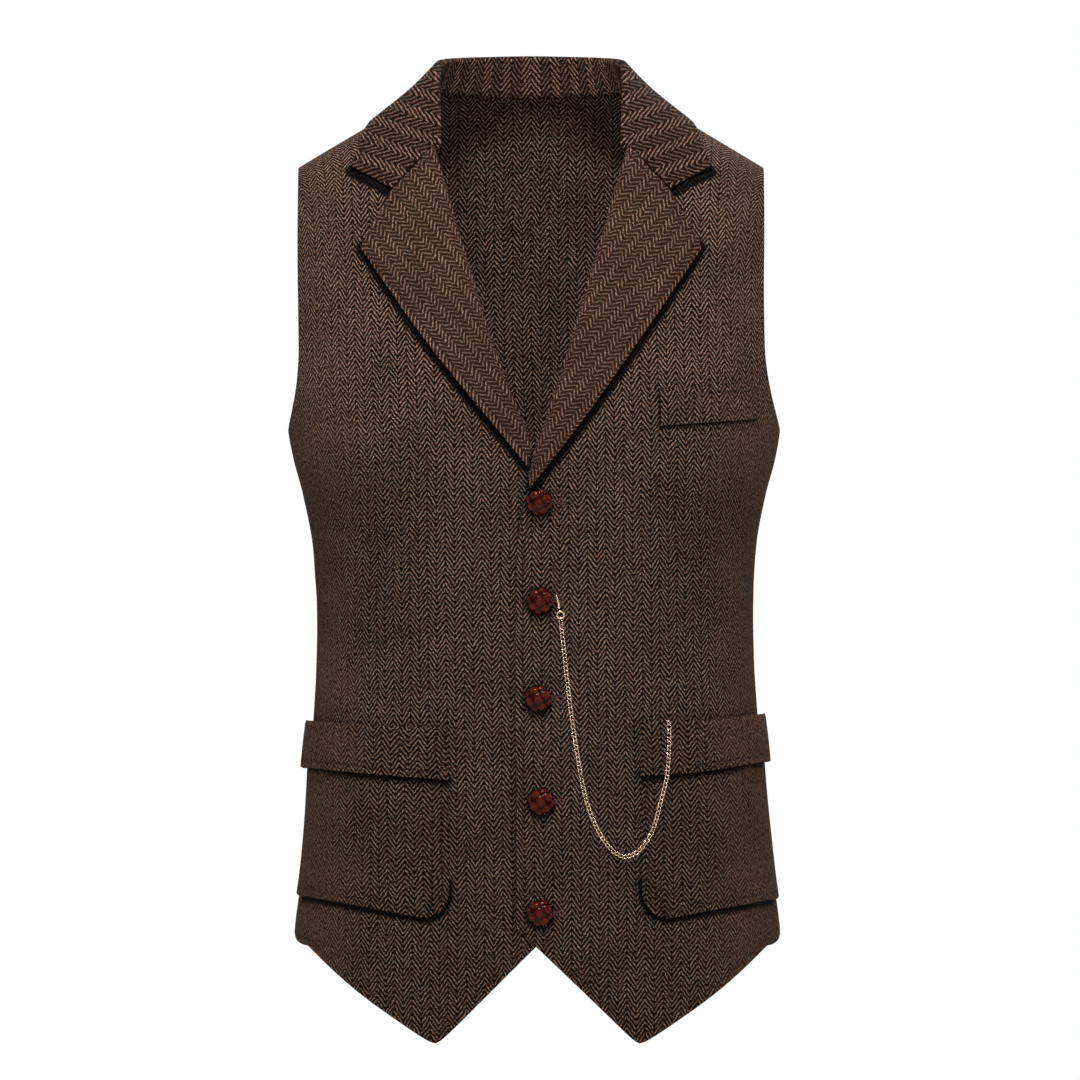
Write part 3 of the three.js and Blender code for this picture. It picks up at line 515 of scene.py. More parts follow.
def tweed(name, light, dark, fuzz=0.6, fade=0.72, stroke=weave["stroke"], slope=weave["slope"],
          uneven=0.0, column=weave["column"]):
    # herringbone drawn on the flat cloth, in millimetres
    material, tree, shader = finish(name, **{
        "Roughness": 0.97, "Specular IOR Level": 0.06, "Sheen Weight": 0.02,
        "Sheen Roughness": 0.6, "Sheen Tint": ink(170, 135, 115)})
    flat = grow(tree, "ShaderNodeUVMap", uv_map="weave")

    def mottle(scale, detail=3.0, rough=0.6, out=0):
        return grow(tree, "ShaderNodeTexNoise", flat, None, scale, detail, rough, out=out)

    def level(value, *ends):
        return ramp(tree, value, *ends, kind="LINEAR")

    def off(value):
        return sums(tree, "SUBTRACT", value, 0.5)

    def pushed(at, scale, detail, amount):
        # moves a place about by a noise, to let the weave wander
        noise = mottle(scale, detail, out=1)
        way = grow(tree, "ShaderNodeVectorMath", noise, (0.5, 0.5, 0.5), operation="SUBTRACT")
        return grow(tree, "ShaderNodeVectorMath", way, amount, at, operation="MULTIPLY_ADD")

    axes = parted(tree, pushed(pushed(flat, 95.0, 3.0, (0.0030, 0.0042, 0)), 560.0, 2.0, (0.0009, 0.0013, 0)))
    across, down = product(tree, axes[0], 1000.0), product(tree, axes[1], 1000.0)
    zigzag = sums(tree, "PINGPONG", across, column)
    rise = sums(tree, "MULTIPLY_ADD", zigzag, slope, down)
    band = sums(tree, "PINGPONG", sums(tree, "DIVIDE", rise, stroke), 0.5)
    fibre, slub, patch = mottle(1500.0, 3.0, 0.7), mottle(420.0), mottle(26.0)
    turn = sums(tree, "PINGPONG", zigzag, column / 2)  # 0 where the columns meet
    rough = sums(tree, "MULTIPLY_ADD", off(fibre), fuzz, band)
    rough = sums(tree, "MULTIPLY_ADD", ramp(tree, turn, 0.0, 0.9, 1.0, 0.0), -0.09, rough)
    yarn = ramp(tree, rough, 0.25, 0.4)
    # painted shade: every other column is darker, as a column takes the light worse
    other = sums(tree, "MODULO", sums(tree, "ABSOLUTE", across), 2 * column)
    other = sums(tree, "MULTIPLY_ADD", sums(tree, "GREATER_THAN", other, column), -uneven, 1.0)
    shown = product(tree, yarn, level(slub, 0.32, 0.66, 0.35, 1.12),
                    level(mottle(720.0, 2.0), 0.36, 0.62, 0.25, 1.32),
                    level(patch, 0.3, 0.7, 0.86, 1.0), other)
    # fleck of other shades spun into the light yarn
    tints = (1.05, 0.93, 0.92, 1), (0.97, 1.06, 1.0, 1)
    shades = [blended(tree, 1.0, light, tint, "MULTIPLY") for tint in tints]
    colour = blended(tree, shown, dark, blended(tree, ramp(tree, mottle(330.0, 2.0), 0.36, 0.64), *shades))
    # brushed and matted towards the side seams
    high = parted(tree, grow(tree, "ShaderNodeTexCoord", out=3))
    aside = sums(tree, "ADD", sums(tree, "ABSOLUTE", high[0]), product(tree, off(patch), 0.05))
    matted = product(tree, ramp(tree, aside, *weave["brushed"], 0.0, 0.7),
                     ramp(tree, high[2], -0.3, -0.2, 1.0, 0.25))
    smudge = blended(tree, ramp(tree, mottle(330.0, 5.0, 0.8), 0.4, 0.6), ink(13, 5, 3), ink(92, 69, 54))
    smudge = blended(tree, ramp(tree, mottle(120.0), 0.45, 0.7, 0.0, 0.5), smudge, ink(66, 39, 31))
    colour = blended(tree, matted, colour, smudge)
    colour = blended(tree, ramp(tree, fibre, 0.66, 0.84, 0.0, 0.25), colour, light)
    # painted shade: darker at the sides of the waist, below the chest
    waistShade = product(tree, ramp(tree, high[2], -0.25, -0.31), ramp(tree, high[2], -0.35, -0.48, 1.0, 0.0),
                    ramp(tree, aside, 0.055, 0.125, 0.0, 0.27))
    # painted shade in the groove beside each turned edge, which the bump also sinks
    beyond = product(tree, parted(tree, grow(tree, "ShaderNodeUVMap", uv_map="border"))[0], 1000.0)
    beside = sums(tree, "ABSOLUTE", sums(tree, "SUBTRACT", beyond, weave["groove"]))
    groove = ramp(tree, beside, 0.0, 1.2, weave["border"], 0.0)
    # painted shade under the pieces that lie on this one, darkest at their edges
    cover = parted(tree, grow(tree, "ShaderNodeUVMap", uv_map="cover"))
    under = sums(tree, "MULTIPLY_ADD", off(slub), 0.0003, cover[0])
    # painted shade: the cloth grows darker towards the bottom, down to fade, and lighter at the chest; also
    # random patches of tone
    tone = product(tree, level(high[2], -0.66, -0.16, fade, 1.14), level(patch, 0.25, 0.75, 0.86, 1.12),
                   sums(tree, "SUBTRACT", 1.0, waistShade), level(groove, 0.0, 1.0, 1.0, 0.6),
                   ramp(tree, under, cover[1], 0.00105, 0.05, 1.0))
    colour = blended(tree, 1.0, colour, grow(tree, "ShaderNodeCombineColor", tone, tone, tone), "MULTIPLY")
    tree.links.new(colour, shader.inputs["Base Color"])
    height = sums(tree, "MULTIPLY_ADD", fibre, 0.5, product(tree, yarn, 0.7))
    height = sums(tree, "MULTIPLY_ADD", groove, -1.8, height)
    tree.links.new(grow(tree, "ShaderNodeBump", 0.8, 0.0004, None, height), shader.inputs["Normal"])
    return material


bodyTweed = tweed("Tweed of the body", ink(140, 114, 97), ink(14, 6, 3), fuzz=0.55)
lapelTweed = tweed("Tweed of the lapels", ink(130, 106, 91), ink(35, 19, 13), fuzz=0.65, fade=0.9, stroke=3.85,
                   slope=1.05, uneven=0.4, column=5.5)
collarTweed = tweed("Tweed of the collar", ink(138, 107, 91), ink(20, 9, 5), stroke=4.7, uneven=0.5,
                    column=7.6)
weltTweed = tweed("Tweed of the welt", ink(134, 108, 93), ink(17, 8, 4), fade=0.9)
pocketTweed = tweed("Tweed of the pockets", ink(132, 106, 89), ink(13, 5, 2), stroke=4.1, slope=1.27)


def polished(name, low, high, scale, depth, relief=False, **values):
    # a glossy finish whose colour and height wander over the object, with painted shade in the hollows of a
    # relief
    material, tree, shader = finish(name, **values)
    place = grow(tree, "ShaderNodeTexCoord", out=3)
    mottle = grow(tree, "ShaderNodeTexNoise", place, None, scale, 3.0, 0.6)
    share = ramp(tree, mottle, 0.35, 0.68)
    if relief:
        raised = parted(tree, grow(tree, "ShaderNodeUVMap", uv_map="relief"))[0]
        share = product(tree, ramp(tree, share, 0.0, 1.0, 0.45, 1.0, "LINEAR"),
                        ramp(tree, raised, 0.00035, 0.00095))
    tree.links.new(blended(tree, share, low, high), shader.inputs["Base Color"])
    grain = grow(tree, "ShaderNodeTexNoise", place, None, scale * 9, 2.0, 0.5)
    tree.links.new(grow(tree, "ShaderNodeBump", 0.35, depth, None, grain), shader.inputs["Normal"])
    return material


leather = polished("Polished woven leather", ink(9, 2, 2), ink(82, 20, 12), 230.0, 0.00005, relief=True, **{
    "Roughness": 0.36, "Coat Weight": 0.12, "Coat Roughness": 0.06, "Specular IOR Level": 0.18,
    "Specular Tint": ink(214, 120, 88)})
brass = polished("Pale gold", ink(198, 168, 138), ink(236, 216, 192), 900.0, 0.00003, **{
    "Metallic": 1.0, "Roughness": 0.24})
print("finishes made")


# trees of Geometry Nodes for links and stitches

def newTree(name, sizes):
    tree = bpy.data.node_groups.new(name, "GeometryNodeTree")
    tree.interface.new_socket("Line", in_out="INPUT", socket_type="NodeSocketGeometry")
    for key in sizes:
        tree.interface.new_socket(key, in_out="INPUT", socket_type="NodeSocketFloat")
    tree.interface.new_socket("Pieces", in_out="OUTPUT", socket_type="NodeSocketGeometry")
    source = tree.nodes.new("NodeGroupInput")
    return tree, {socket.name: socket for socket in source.outputs if socket.name}


def closeTree(tree, geometry, material):
    # the pieces are made real and get their finish
    real = grow(tree, "GeometryNodeRealizeInstances", geometry)
    dressed = grow(tree, "GeometryNodeSetMaterial", real)
    dressed.node.inputs["Material"].default_value = material
    tree.links.new(dressed, tree.nodes.new("NodeGroupOutput").inputs[0])
    return tree


def sizedBy(tree, item, socket, value):
    # sets a socket that the kind of node keeps among others
    tree.links.new(value, item.node.inputs[socket])
    return item


def ringOf(tree, count, across=None):
    # a round line, 1 m in radius or as wide as a size says
    circle = grow(tree, "GeometryNodeCurvePrimitiveCircle", count)
    circle.node.inputs["Radius"].default_value = 1.0
    return sizedBy(tree, circle, "Radius", product(tree, across, 0.5)) if across else circle


def stretched(tree, item, *sizes):
    grown = grow(tree, "GeometryNodeTransform", item)
    return sizedBy(tree, grown, "Scale", grow(tree, "ShaderNodeCombineXYZ", *sizes))


def copiedAlong(tree, size, item, turns=()):
    # copies the item at each step of the line, along it, after turns of its own
    steps = grow(tree, "GeometryNodeResampleCurve", size["Line"], mode="LENGTH")
    steps = sizedBy(tree, steps, "Length", size["Step"])
    tangent = grow(tree, "GeometryNodeInputTangent")
    facing = grow(tree, "FunctionNodeAlignRotationToVector", None, 1.0, tangent, axis="X")
    for axis, angle in turns:
        turn = grow(tree, "FunctionNodeAxisAngleToRotation", axis, angle)
        facing = grow(tree, "FunctionNodeRotateRotation", facing, turn, rotation_space="LOCAL")
    placed = sizedBy(tree, grow(tree, "GeometryNodeInstanceOnPoints", steps), "Instance", item)
    return sizedBy(tree, placed, "Rotation", facing)


def alongLines(name, lines, tree, sizes, angles=None):
    # runs a tree over lines of points and keeps the result as a plain mesh; sizes are in millimetres
    wanted = {key: size * mm for key, size in sizes.items()} | (angles or {})
    data = bpy.data.curves.new(name, "CURVE")
    data.dimensions = "3D"
    for points in lines:
        spline = data.splines.new("POLY")
        spline.points.add(len(points) - 1)
        spline.points.foreach_set("co", np.c_[np.asarray(points) * mm, np.ones(len(points))].ravel())
    source = bpy.data.objects.new(name, data)
    scene.collection.objects.link(source)
    modifier = source.modifiers.new(name, "NODES")
    modifier.node_group = tree
    for socket in tree.interface.items_tree:
        if socket.in_out == "INPUT" and socket.name in wanted:
            modifier[socket.identifier] = float(wanted[socket.name])
    mesh = bpy.data.meshes.new_from_object(source.evaluated_get(bpy.context.evaluated_depsgraph_get()))
    source.modifiers.remove(modifier)
    bpy.data.objects.remove(source)
    bpy.data.curves.remove(data)
    mesh.name = name
    piece = bpy.data.objects.new(name, mesh)
    scene.collection.objects.link(piece)
    return piece


def linkTree(material):
    # ovals of wire along the line, each turned and leaning against the next
    tree, size = newTree("Curb links", ["Step", "Wire", "Long", "Wide", "Turn", "Lean"])
    oval = stretched(tree, ringOf(tree, 14), product(tree, size["Long"], 0.5),
                     product(tree, size["Wide"], 0.5), 1.0)
    link = grow(tree, "GeometryNodeCurveToMesh", oval, ringOf(tree, 6, size["Wire"]))
    odd = sums(tree, "MODULO", grow(tree, "GeometryNodeInputIndex"), 2.0)
    way = sums(tree, "MULTIPLY_ADD", odd, 2.0, -1.0)
    turns = [((1, 0, 0), product(tree, way, size["Turn"])), ((0, 0, 1), product(tree, way, size["Lean"]))]
    return closeTree(tree, copiedAlong(tree, size, link, turns), material)


def stitchTree(material):
    # short stitches, one at each step of a line and along it
    tree, size = newTree("Stitches", ["Step", "Long", "Thick"])
    bead = grow(tree, "GeometryNodeMeshUVSphere", 6, 4, 0.5)
    bead = stretched(tree, bead, size["Long"], size["Thick"], size["Thick"])
    return closeTree(tree, copiedAlong(tree, size, bead), material)


def threadTree(material):
    # thread that follows its line all the way
    tree, size = newTree("Thread", ["Thick"])
    tube = grow(tree, "GeometryNodeCurveToMesh", size["Line"], ringOf(tree, 6, size["Thick"]))
    tube.node.inputs["Fill Caps"].default_value = True
    return closeTree(tree, tube, material)


def centripetal(points, t):
    # smooth line through points of space, t from 0 to 1
    p = np.array(points, float)
    p = np.vstack([2 * p[0] - p[1], p, 2 * p[-1] - p[-2]])
    t = np.clip(np.asarray(t, float), 0, 1) * (len(p) - 3)
    k = np.minimum(t.astype(int), len(p) - 4)
    w = (t - k)[:, None]
    a, b, c, d = p[k], p[k + 1], p[k + 2], p[k + 3]
    gaps = [np.sqrt(np.linalg.norm(y - x, axis=1))[:, None] for x, y in ((a, b), (b, c), (c, d))]
    e, f, g = (np.where(gap < 1e-4, 1.0, gap) for gap in gaps)
    v = ((b - a) / e - (c - a) / (e + f) + (c - b) / f) * f
    u = ((c - b) / f - (d - b) / (f + g) + (d - c) / g) * f
    return (2 * b - 2 * c + v + u) * w**3 + (-3 * b + 3 * c - 2 * v - u) * w**2 + v * w + b


def dress(piece, slotName, *nodes):
    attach(piece, "root")
    if nodes:
        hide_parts(*nodes)
    return piece


# pick stitches beside the turned edges

thread = polished("Buttonhole thread", ink(54, 18, 13), ink(98, 42, 33), 1600.0, 0.0001, **{
    "Roughness": 0.7, "Sheen Weight": 0.2})
basting = polished("Edge thread", ink(30, 18, 13), ink(64, 44, 34), 1600.0, 0.0001, **{
    "Roughness": 0.85, "Sheen Weight": 0.1})
threadWork, stitchWork = threadTree(thread), stitchTree(basting)
pick = {"Step": 4.6, "Long": 1.7, "Thick": 0.42}
stitches, flats = {}, {}


def sew(name, outer, base, turned, grain, border):
    # stitches run along the groove beside each turned edge
    groove, lines = weave["groove"], []
    for side in turned:
        rows, far, mine = outer, border, distanceTo(base, edgeOf(base, side))
        if side in ("top", "bottom"):
            rows, far, mine = rows.swapaxes(0, 1), far.T, mine.T
        if side in ("right", "bottom"):
            rows, far, mine = rows[:, ::-1], far[:, ::-1], mine[:, ::-1]
        found = []
        for points, away, near in zip(rows, far, mine):
            k = int(np.argmax(away > groove))
            if k > 0 and near[k - 1] < groove + 0.3:
                share = (groove - away[k - 1]) / (away[k] - away[k - 1])
                found.append(points[k - 1] * (1 - share) + points[k] * share)
        if len(found) > 4:
            lines.append(np.array(found))
    if lines:
        stitches[name] = dress(alongLines(name + "_stitches", lines, stitchWork, pick), "tweed")
    flats[name] = boxOf(grain)


# the lapping front's lift, and points over it

lap = {"lift": 2.6, "flat": 26, "gone": 66}


def lapLift(points):
    return lap["lift"] * (1 - smooth(points[..., 0], lap["flat"], lap["gone"]))


def overFront(x, z, out):
    s, q = np.moveaxis(trueAt(-1, np.asarray(x, float), np.asarray(z, float)), -1, 0)
    base, way = surface(-1, s, q), normalAt(-1, s, q)
    return base + way * np.asarray(lapLift(base) + ease(-1, base) + out)[..., None], way


# the watch chain, from its bar in the second buttonhole to the left pocket

chain = {
    "links": {"Step": 3.1, "Wire": 0.9, "Long": 4.0, "Wide": 3.5}, "angles": {"Turn": 0.75, "Lean": 0.6},
    "width": 3.0,
    "route": [
        (19.2, -398.8, 2.1), (20.2, -409, 2.1), (21.8, -423, 2.1), (23.2, -437, 2.1),
        (24.8, -451, 2.1), (27.2, -470, 2.1), (30, -489.7, 2.1), (32.8, -507, 2.1),
        (36, -523.5, 2.1), (39.7, -537.5, 2.1), (44.2, -549, 2.1), (48.5, -557.5, 2.3),
        (53.3, -564.7, 2.8), (58, -570, 3.3), (62.6, -573, 3.9), (67, -574.2, 4.4),
        (71, -573.2, 4.8), (75, -571, 5), (79.2, -566.6, 5), (83.2, -561, 5),
        (86.6, -554.2, 5.1), (89.4, -545, 5.6), (91.7, -534, 7), (93.8, -524, 8.6),
        (95.6, -515, 9.2), (96.6, -505, 8.9), (97.3, -492, 8.3), (97.6, -482, 7.8),
        (97.6, -474.4, 7.2),
    ],
}
ring = {"x": 18.9, "z": -393.2, "radius": 2.6, "wire": 0.75, "out": 1.15}
bar = {"from": (15.6, -378), "to": (18.2, -388.6), "out": 1.5}

chainPoints, _ = overFront(*np.transpose(chain["route"]))
chainLine = centripetal(chainPoints, np.linspace(0, 1, 400))
watchChain = alongLines("watch_chain_links", [chainLine], linkTree(brass), chain["links"], chain["angles"])


def squareTo(way):
    # the way at unit length, with two more that are square to it and to each other
    way = way / np.linalg.norm(way)
    side = np.cross(way, (0, 0, 1))
    side /= np.linalg.norm(side)
    return way, side, np.cross(side, way)


def capped(name, first, rings, last, material, layers=None):
    # closed skin over rings of points, from one end point to the other
    count = rings.shape[1]
    points = np.vstack([[first], rings.reshape(-1, 3), [last]])
    starts = 1 + count * np.arange(len(rings))
    faces = []
    for j in range(count):
        k = (j + 1) % count
        faces.append((0, 1 + k, 1 + j))
        faces += [(a + j, a + k, b + k, b + j) for a, b in zip(starts[:-1], starts[1:])]
        faces.append((starts[-1] + j, starts[-1] + k, len(points) - 1))
    return meshObject(name, points, faces, layers, material)


def lathed(name, profile, origin, way, material, segments=32):
    # turns (radius, height) about a line from a point; first and last lie on the line
    way, side, up = squareTo(way)
    turn = np.linspace(0, 2 * math.pi, segments, endpoint=False)
    around = np.cos(turn)[:, None] * side + np.sin(turn)[:, None] * up
    rings = np.array([radius * around + rise * way for radius, rise in profile[1:-1]]) + origin
    return capped(name, origin + profile[0][1] * way, rings, origin + profile[-1][1] * way, material)


def hoop(name, centre, way, radius, wire, material, around=40, sides=12):
    way, side, up = squareTo(way)
    turn = np.linspace(0, 2 * math.pi, around, endpoint=False)[:, None, None]
    small = np.linspace(0, 2 * math.pi, sides, endpoint=False)[None, :, None]
    out = np.cos(turn) * side + np.sin(turn) * up
    points = centre + out * (radius + wire * np.cos(small)) + way * wire * np.sin(small)
    at = np.arange(around * sides).reshape(around, sides)
    after = np.roll(at, -1, axis=0)
    faces = np.stack([at, after, np.roll(after, -1, axis=1), np.roll(at, -1, axis=1)], axis=-1).reshape(-1, 4)
    return meshObject(name, points.reshape(-1, 3), faces, None, material)


ringAt, ringWay = overFront(ring["x"], ring["z"], ring["out"])
chainRing = hoop("chain_ring_wire", ringAt, ringWay, ring["radius"], ring["wire"], brass)
barFrom, _ = overFront(*bar["from"], bar["out"])
barTo, _ = overFront(*bar["to"], bar["out"])
barLong = np.linalg.norm(barTo - barFrom)
drop = [(0, -0.2), (0.75, 0.1), (0.9, 0.8), (0.7, 1.5), (0.85, barLong * 0.3), (1.15, barLong * 0.75),
        (1.2, barLong - 1.2), (0.9, barLong - 0.5), (0.6, barLong), (0, barLong + 0.2)]
chainBar = lathed("chain_bar_drop", drop, barFrom, barTo - barFrom, brass, 20)

for piece, node in ((watchChain, "watch_chain"), (chainRing, "chain_ring"), (chainBar, "chain_bar")):
    dress(piece, "chain_metal", node)


# what lies over each front and over the back: an outline, and edges with the width of their
# shade and where it starts to fade; filled in as the pieces are made

covers = {-1: [], 1: [], "back": []}


# fronts and back

rollLine = [(80, -2.4), (76.5, -12), (75, -24), (72.3, -45), (62.6, -78), (53, -112.5),
            (43.5, -142.5), (30.4, -187.5), (20.6, -217.5), (10.2, -245), (1.2, -270)]
panel = {
    "shade": (6.0, -1.2),
    "underarm": -255, "backHem": -629, "frontX": 175, "backX": 170, "straight": -196, "power": 2 / 2.2,
    "lapping": [(1.2, -270), (-5.2, -291), (-12.4, -337), (-14.2, -397), (-14.2, -627)],
    "lapped": [(1.2, -270), (12, -300), (20, -345), (20, -520), (20, -622)],
    "hem": [(172.5, -641), (152.5, -660), (130, -678.7), (103.5, -697.5), (83, -710.8), (76, -713.2)],
    "tip": [(76, -713.2), (70, -709.2), (58, -697.8)],
    "backNeck": [(-80, -2.4), (-74, -3), (-58, -3.4), (-30, -3.8), (0, -4), (30, -3.8), (58, -3.4),
                 (74, -3), (80, -2.4)],
}
high = {"upper": 88, "lower": 132}


def armhole(face, side, x):
    # straight down from the shoulder tip, then a quarter round to the side seam
    top = (side * x, shoulderZ(side * x + shoulder["lean"]))
    straight = line(top, (side * x, panel["straight"]))
    first = seen(face, (side * x, panel["straight"]))[0]
    turn = np.linspace(0, math.pi / 2, 61)
    z = panel["straight"] + (panel["underarm"] - panel["straight"]) * np.sin(turn) ** panel["power"]
    s = side * math.pi / 2 + (first - side * math.pi / 2) * np.cos(turn) ** panel["power"]
    half, _, _, lean = bodyAt(z)
    bottom = np.stack([s, arcOf(shoulderZ(np.sin(s) * half + lean) - z)], axis=-1)
    return joined(seen(face, straight), bottom)


def outerEdge(face, side, x):
    seamLine = onSide(side, np.linspace(panel["underarm"], panel["backHem"], 60))
    return joined(spaced(face, armhole(face, side, x), parts(high["upper"], 250, end=False), 0.5),
                  spaced(face, seamLine, parts(high["lower"], 370, start=False)))


def shoulderSeam(face, start, end):
    x = np.linspace(start, end, 25)
    at = seenAt(face, x, shoulderZ(x + shoulder["lean"]))
    at[:, 1] = 0
    return at


def laid(side, way, shares):
    # a line seen from ahead, x from the leaning middle, put over the front at shares of its length
    return spaced(-1, seen(-1, way, side), shares)


def addFront(side):
    lapping = side > 0
    shares = parts(104, 160)
    edge = curve(panel["lapping" if lapping else "lapped"])
    front = trueAt(-1, edge[:, 0], edge[:, 1])
    seamLine = shoulderSeam(-1, side * panel["frontX"], side * shoulder["neckX"])
    roll = np.vstack([seamLine[-1:], seen(-1, curve(rollLine)[1:-1], side), front[:1]])
    outerHem = np.vstack([onSide(side, np.array([panel["backHem"]])), seen(-1, curve(panel["hem"]), side)])
    foot = edge[-1]
    footSeen = (side * (foot[0] - bodyAt(foot[1])[3]), foot[1])
    innerHem = seen(-1, joined(curve(panel["tip"]), line(panel["tip"][-1], footSeen)), side)
    split = int(np.searchsorted(shares, 0.58))
    bottom = joined(spaced(-1, outerHem, shares[:split + 1] / shares[split]),
                    spaced(-1, innerHem, (shares[split:] - shares[split]) / (1 - shares[split])))
    right = joined(spaced(-1, roll, parts(high["upper"], 250, end=False)),
                   spaced(-1, front, parts(high["lower"], 370, start=False)))
    grid = filled(spaced(-1, seamLine, shares), bottom, outerEdge(-1, side, panel["frontX"]), right)
    name, lift = ("front_left", lapLift) if lapping else ("front_right", 0)
    points = clothPiece(name, -1, grid, lift, bodyTweed,
                        turned=("right", "bottom"), shift=(2.1 * side, 0), covers=covers[side])
    return points, grid


def addBack():
    neck = curve(panel["backNeck"], 8)
    angle = np.linspace(-90, 90, 121)
    hemLine = np.vstack([onSide(np.sign(a) or 1, np.array([panel["backHem"]]), abs(a)) for a in angle])
    shares = np.linspace(0, 1, 29)
    top = joined(spaced(1, shoulderSeam(1, -panel["backX"], -shoulder["neckX"]), shares),
                 spaced(1, seenAt(1, neck[:, 0], neck[:, 1]), np.linspace(0, 1, 49)),
                 spaced(1, shoulderSeam(1, shoulder["neckX"], panel["backX"]), shares))
    bottom = spaced(1, hemLine, np.linspace(0, 1, len(top)))
    grid = filled(top, bottom, outerEdge(1, -1, panel["backX"]), outerEdge(1, 1, panel["backX"]))
    clothPiece("back", 1, grid, 0, bodyTweed, turned=("bottom",), covers=covers["back"])


# the lapels: cloth that rolls round the fronts' neck edges and lies on them

lapel = {
    "notch": (103, -75.9), "tip": (126, -119.5), "bow": 3.5, "bowWay": (0.79, 0.61), "rise": 2.2,
    "gorge": -43.2, "roll": 2.3, "curl": 1.1, "tilt": 38, "shade": (7.5, 0.55), "wall": 1.8, "rounding": 0.9,
    "ends": {1: {"roll": (-5, -290), "edge": (-3.2, -297.5)},
             -1: {"roll": (-0.4, -268.5), "edge": (-4.4, -283)}},
}


def addLapel(side):
    lapping = side > 0
    ends = lapel["ends"][side]
    roll = np.array([p for p in curve(rollLine) if ends["roll"][1] < p[1] < lapel["gorge"]])
    rollEdge = seen(-1, roll, side)
    if lapping:
        rollEdge = np.vstack([rollEdge, trueAt(-1, *ends["roll"])[None]])
    straight = line(lapel["tip"], (side * ends["edge"][0], ends["edge"][1]))
    swell = lapel["bow"] * np.sin(np.linspace(0, math.pi, len(straight)))
    bowed = straight + swell[:, None] * np.array([lapel["bowWay"][0], -lapel["bowWay"][1]])
    rollLast = (side * ends["roll"][0], ends["roll"][1]) if lapping else roll[-1]
    across, down = parts(40, 60, start=False), parts(76, 260)
    k = int(np.searchsorted(across, 0.56))
    top = joined(laid(side, line(roll[0], lapel["notch"]), across[:k + 1] / across[k]),
                 laid(side, line(lapel["notch"], lapel["tip"]), (across[k:] - across[k]) / (1 - across[k])))
    grid = filled(top, laid(side, line(rollLast, bowed[-1]), across),
                  spaced(-1, rollEdge, down), laid(side, bowed, down))
    s, q = grid[..., 0], grid[..., 1]
    base, normal = surface(-1, s, q), normalAt(-1, s, q)
    far = np.array([lengths(row) for row in base])
    share = far / np.maximum(far[:, -1:], 1)
    soft = 1.3 * np.exp(-(((far - 9) / 8) ** 2)) * smooth(far[:, -1:], 8, 30)
    wave = 0.5 * np.sin(base[..., 2] * 0.045 + side) * share
    out = layer + wall + lapel["rise"] * share**2 + soft + wave + ease(-1, base)
    if lapping:
        out += lapLift(base)
    dip = drawnBack(base, ("top", "bottom", "right"), lapel["rounding"])
    # the roll: a turn of cloth round the front's edge, from under it to the top
    edge, up = base[:, 0], normal[:, 0]
    way = base[:, 3] - edge
    way -= (way * up).sum(1)[:, None] * up
    way /= np.linalg.norm(way, axis=1)[:, None]
    radius = lapel["roll"]
    centre = edge + way * lapel["curl"] + up * (out[:, 0] - dip[:, 0] - radius)[:, None]
    turns = np.radians([255, 235, 215, 195, 175, 155, 135, 115, 98])
    ways = np.cos(turns)[None, :, None] * way[:, None] + np.sin(turns)[None, :, None] * up[:, None]
    inside = np.maximum(radius - lapel["wall"] + 2 * dip[:, 0], 0.3)[:, None, None]
    push = way[:, None] * (lapel["curl"] * np.exp(-far / 2.0))[..., None]
    flatOuter = base + normal * (out - dip)[..., None] + push
    flatInner = base + normal * (out - lapel["wall"] + dip)[..., None] + push
    outer = np.concatenate([centre[:, None] + ways * radius, flatOuter], axis=1)
    inner = np.concatenate([centre[:, None] + ways * inside, flatInner], axis=1)
    # the weave, tilted, and carried on round the roll
    angle = -side * math.radians(lapel["tilt"])
    turned = np.array([[math.cos(angle), -math.sin(angle)], [math.sin(angle), math.cos(angle)]])
    grain = grainAt(-1, s, q) @ turned
    first = grain[:, 3:4] - grain[:, :1]
    steps = np.append(np.cumsum(radius * np.abs(np.diff(turns))[::-1])[::-1], 0) + 1.2
    rolled = grain[:, :1] - steps[None, :, None] * first / np.linalg.norm(first, axis=-1, keepdims=True)
    grain = np.concatenate([rolled, grain], axis=1)
    border = fromEdges(base, ("right", "top"))
    hidden = np.repeat(border[:, :1], len(turns), axis=1) + 20
    name = "lapel_left" if lapping else "lapel_right"
    piece = shell(name + "_cloth", outer, inner, grain, np.concatenate([hidden, border], axis=1), lapelTweed)
    dress(piece, "tweed", name)
    covers[side].append((outlineOf(grid), [(base[:, -1], *lapel["shade"])]))
    sew(name, flatOuter, base, ("right", "top"), grain, border)


addLapel(-1)
addLapel(1)
print("lapels made")


# the collar: a stand, a fold and a fall round the back of the neck.
# Sections run from the notch to the centre back. A point of four values lies over the front:
# x, none, z and how far off it.

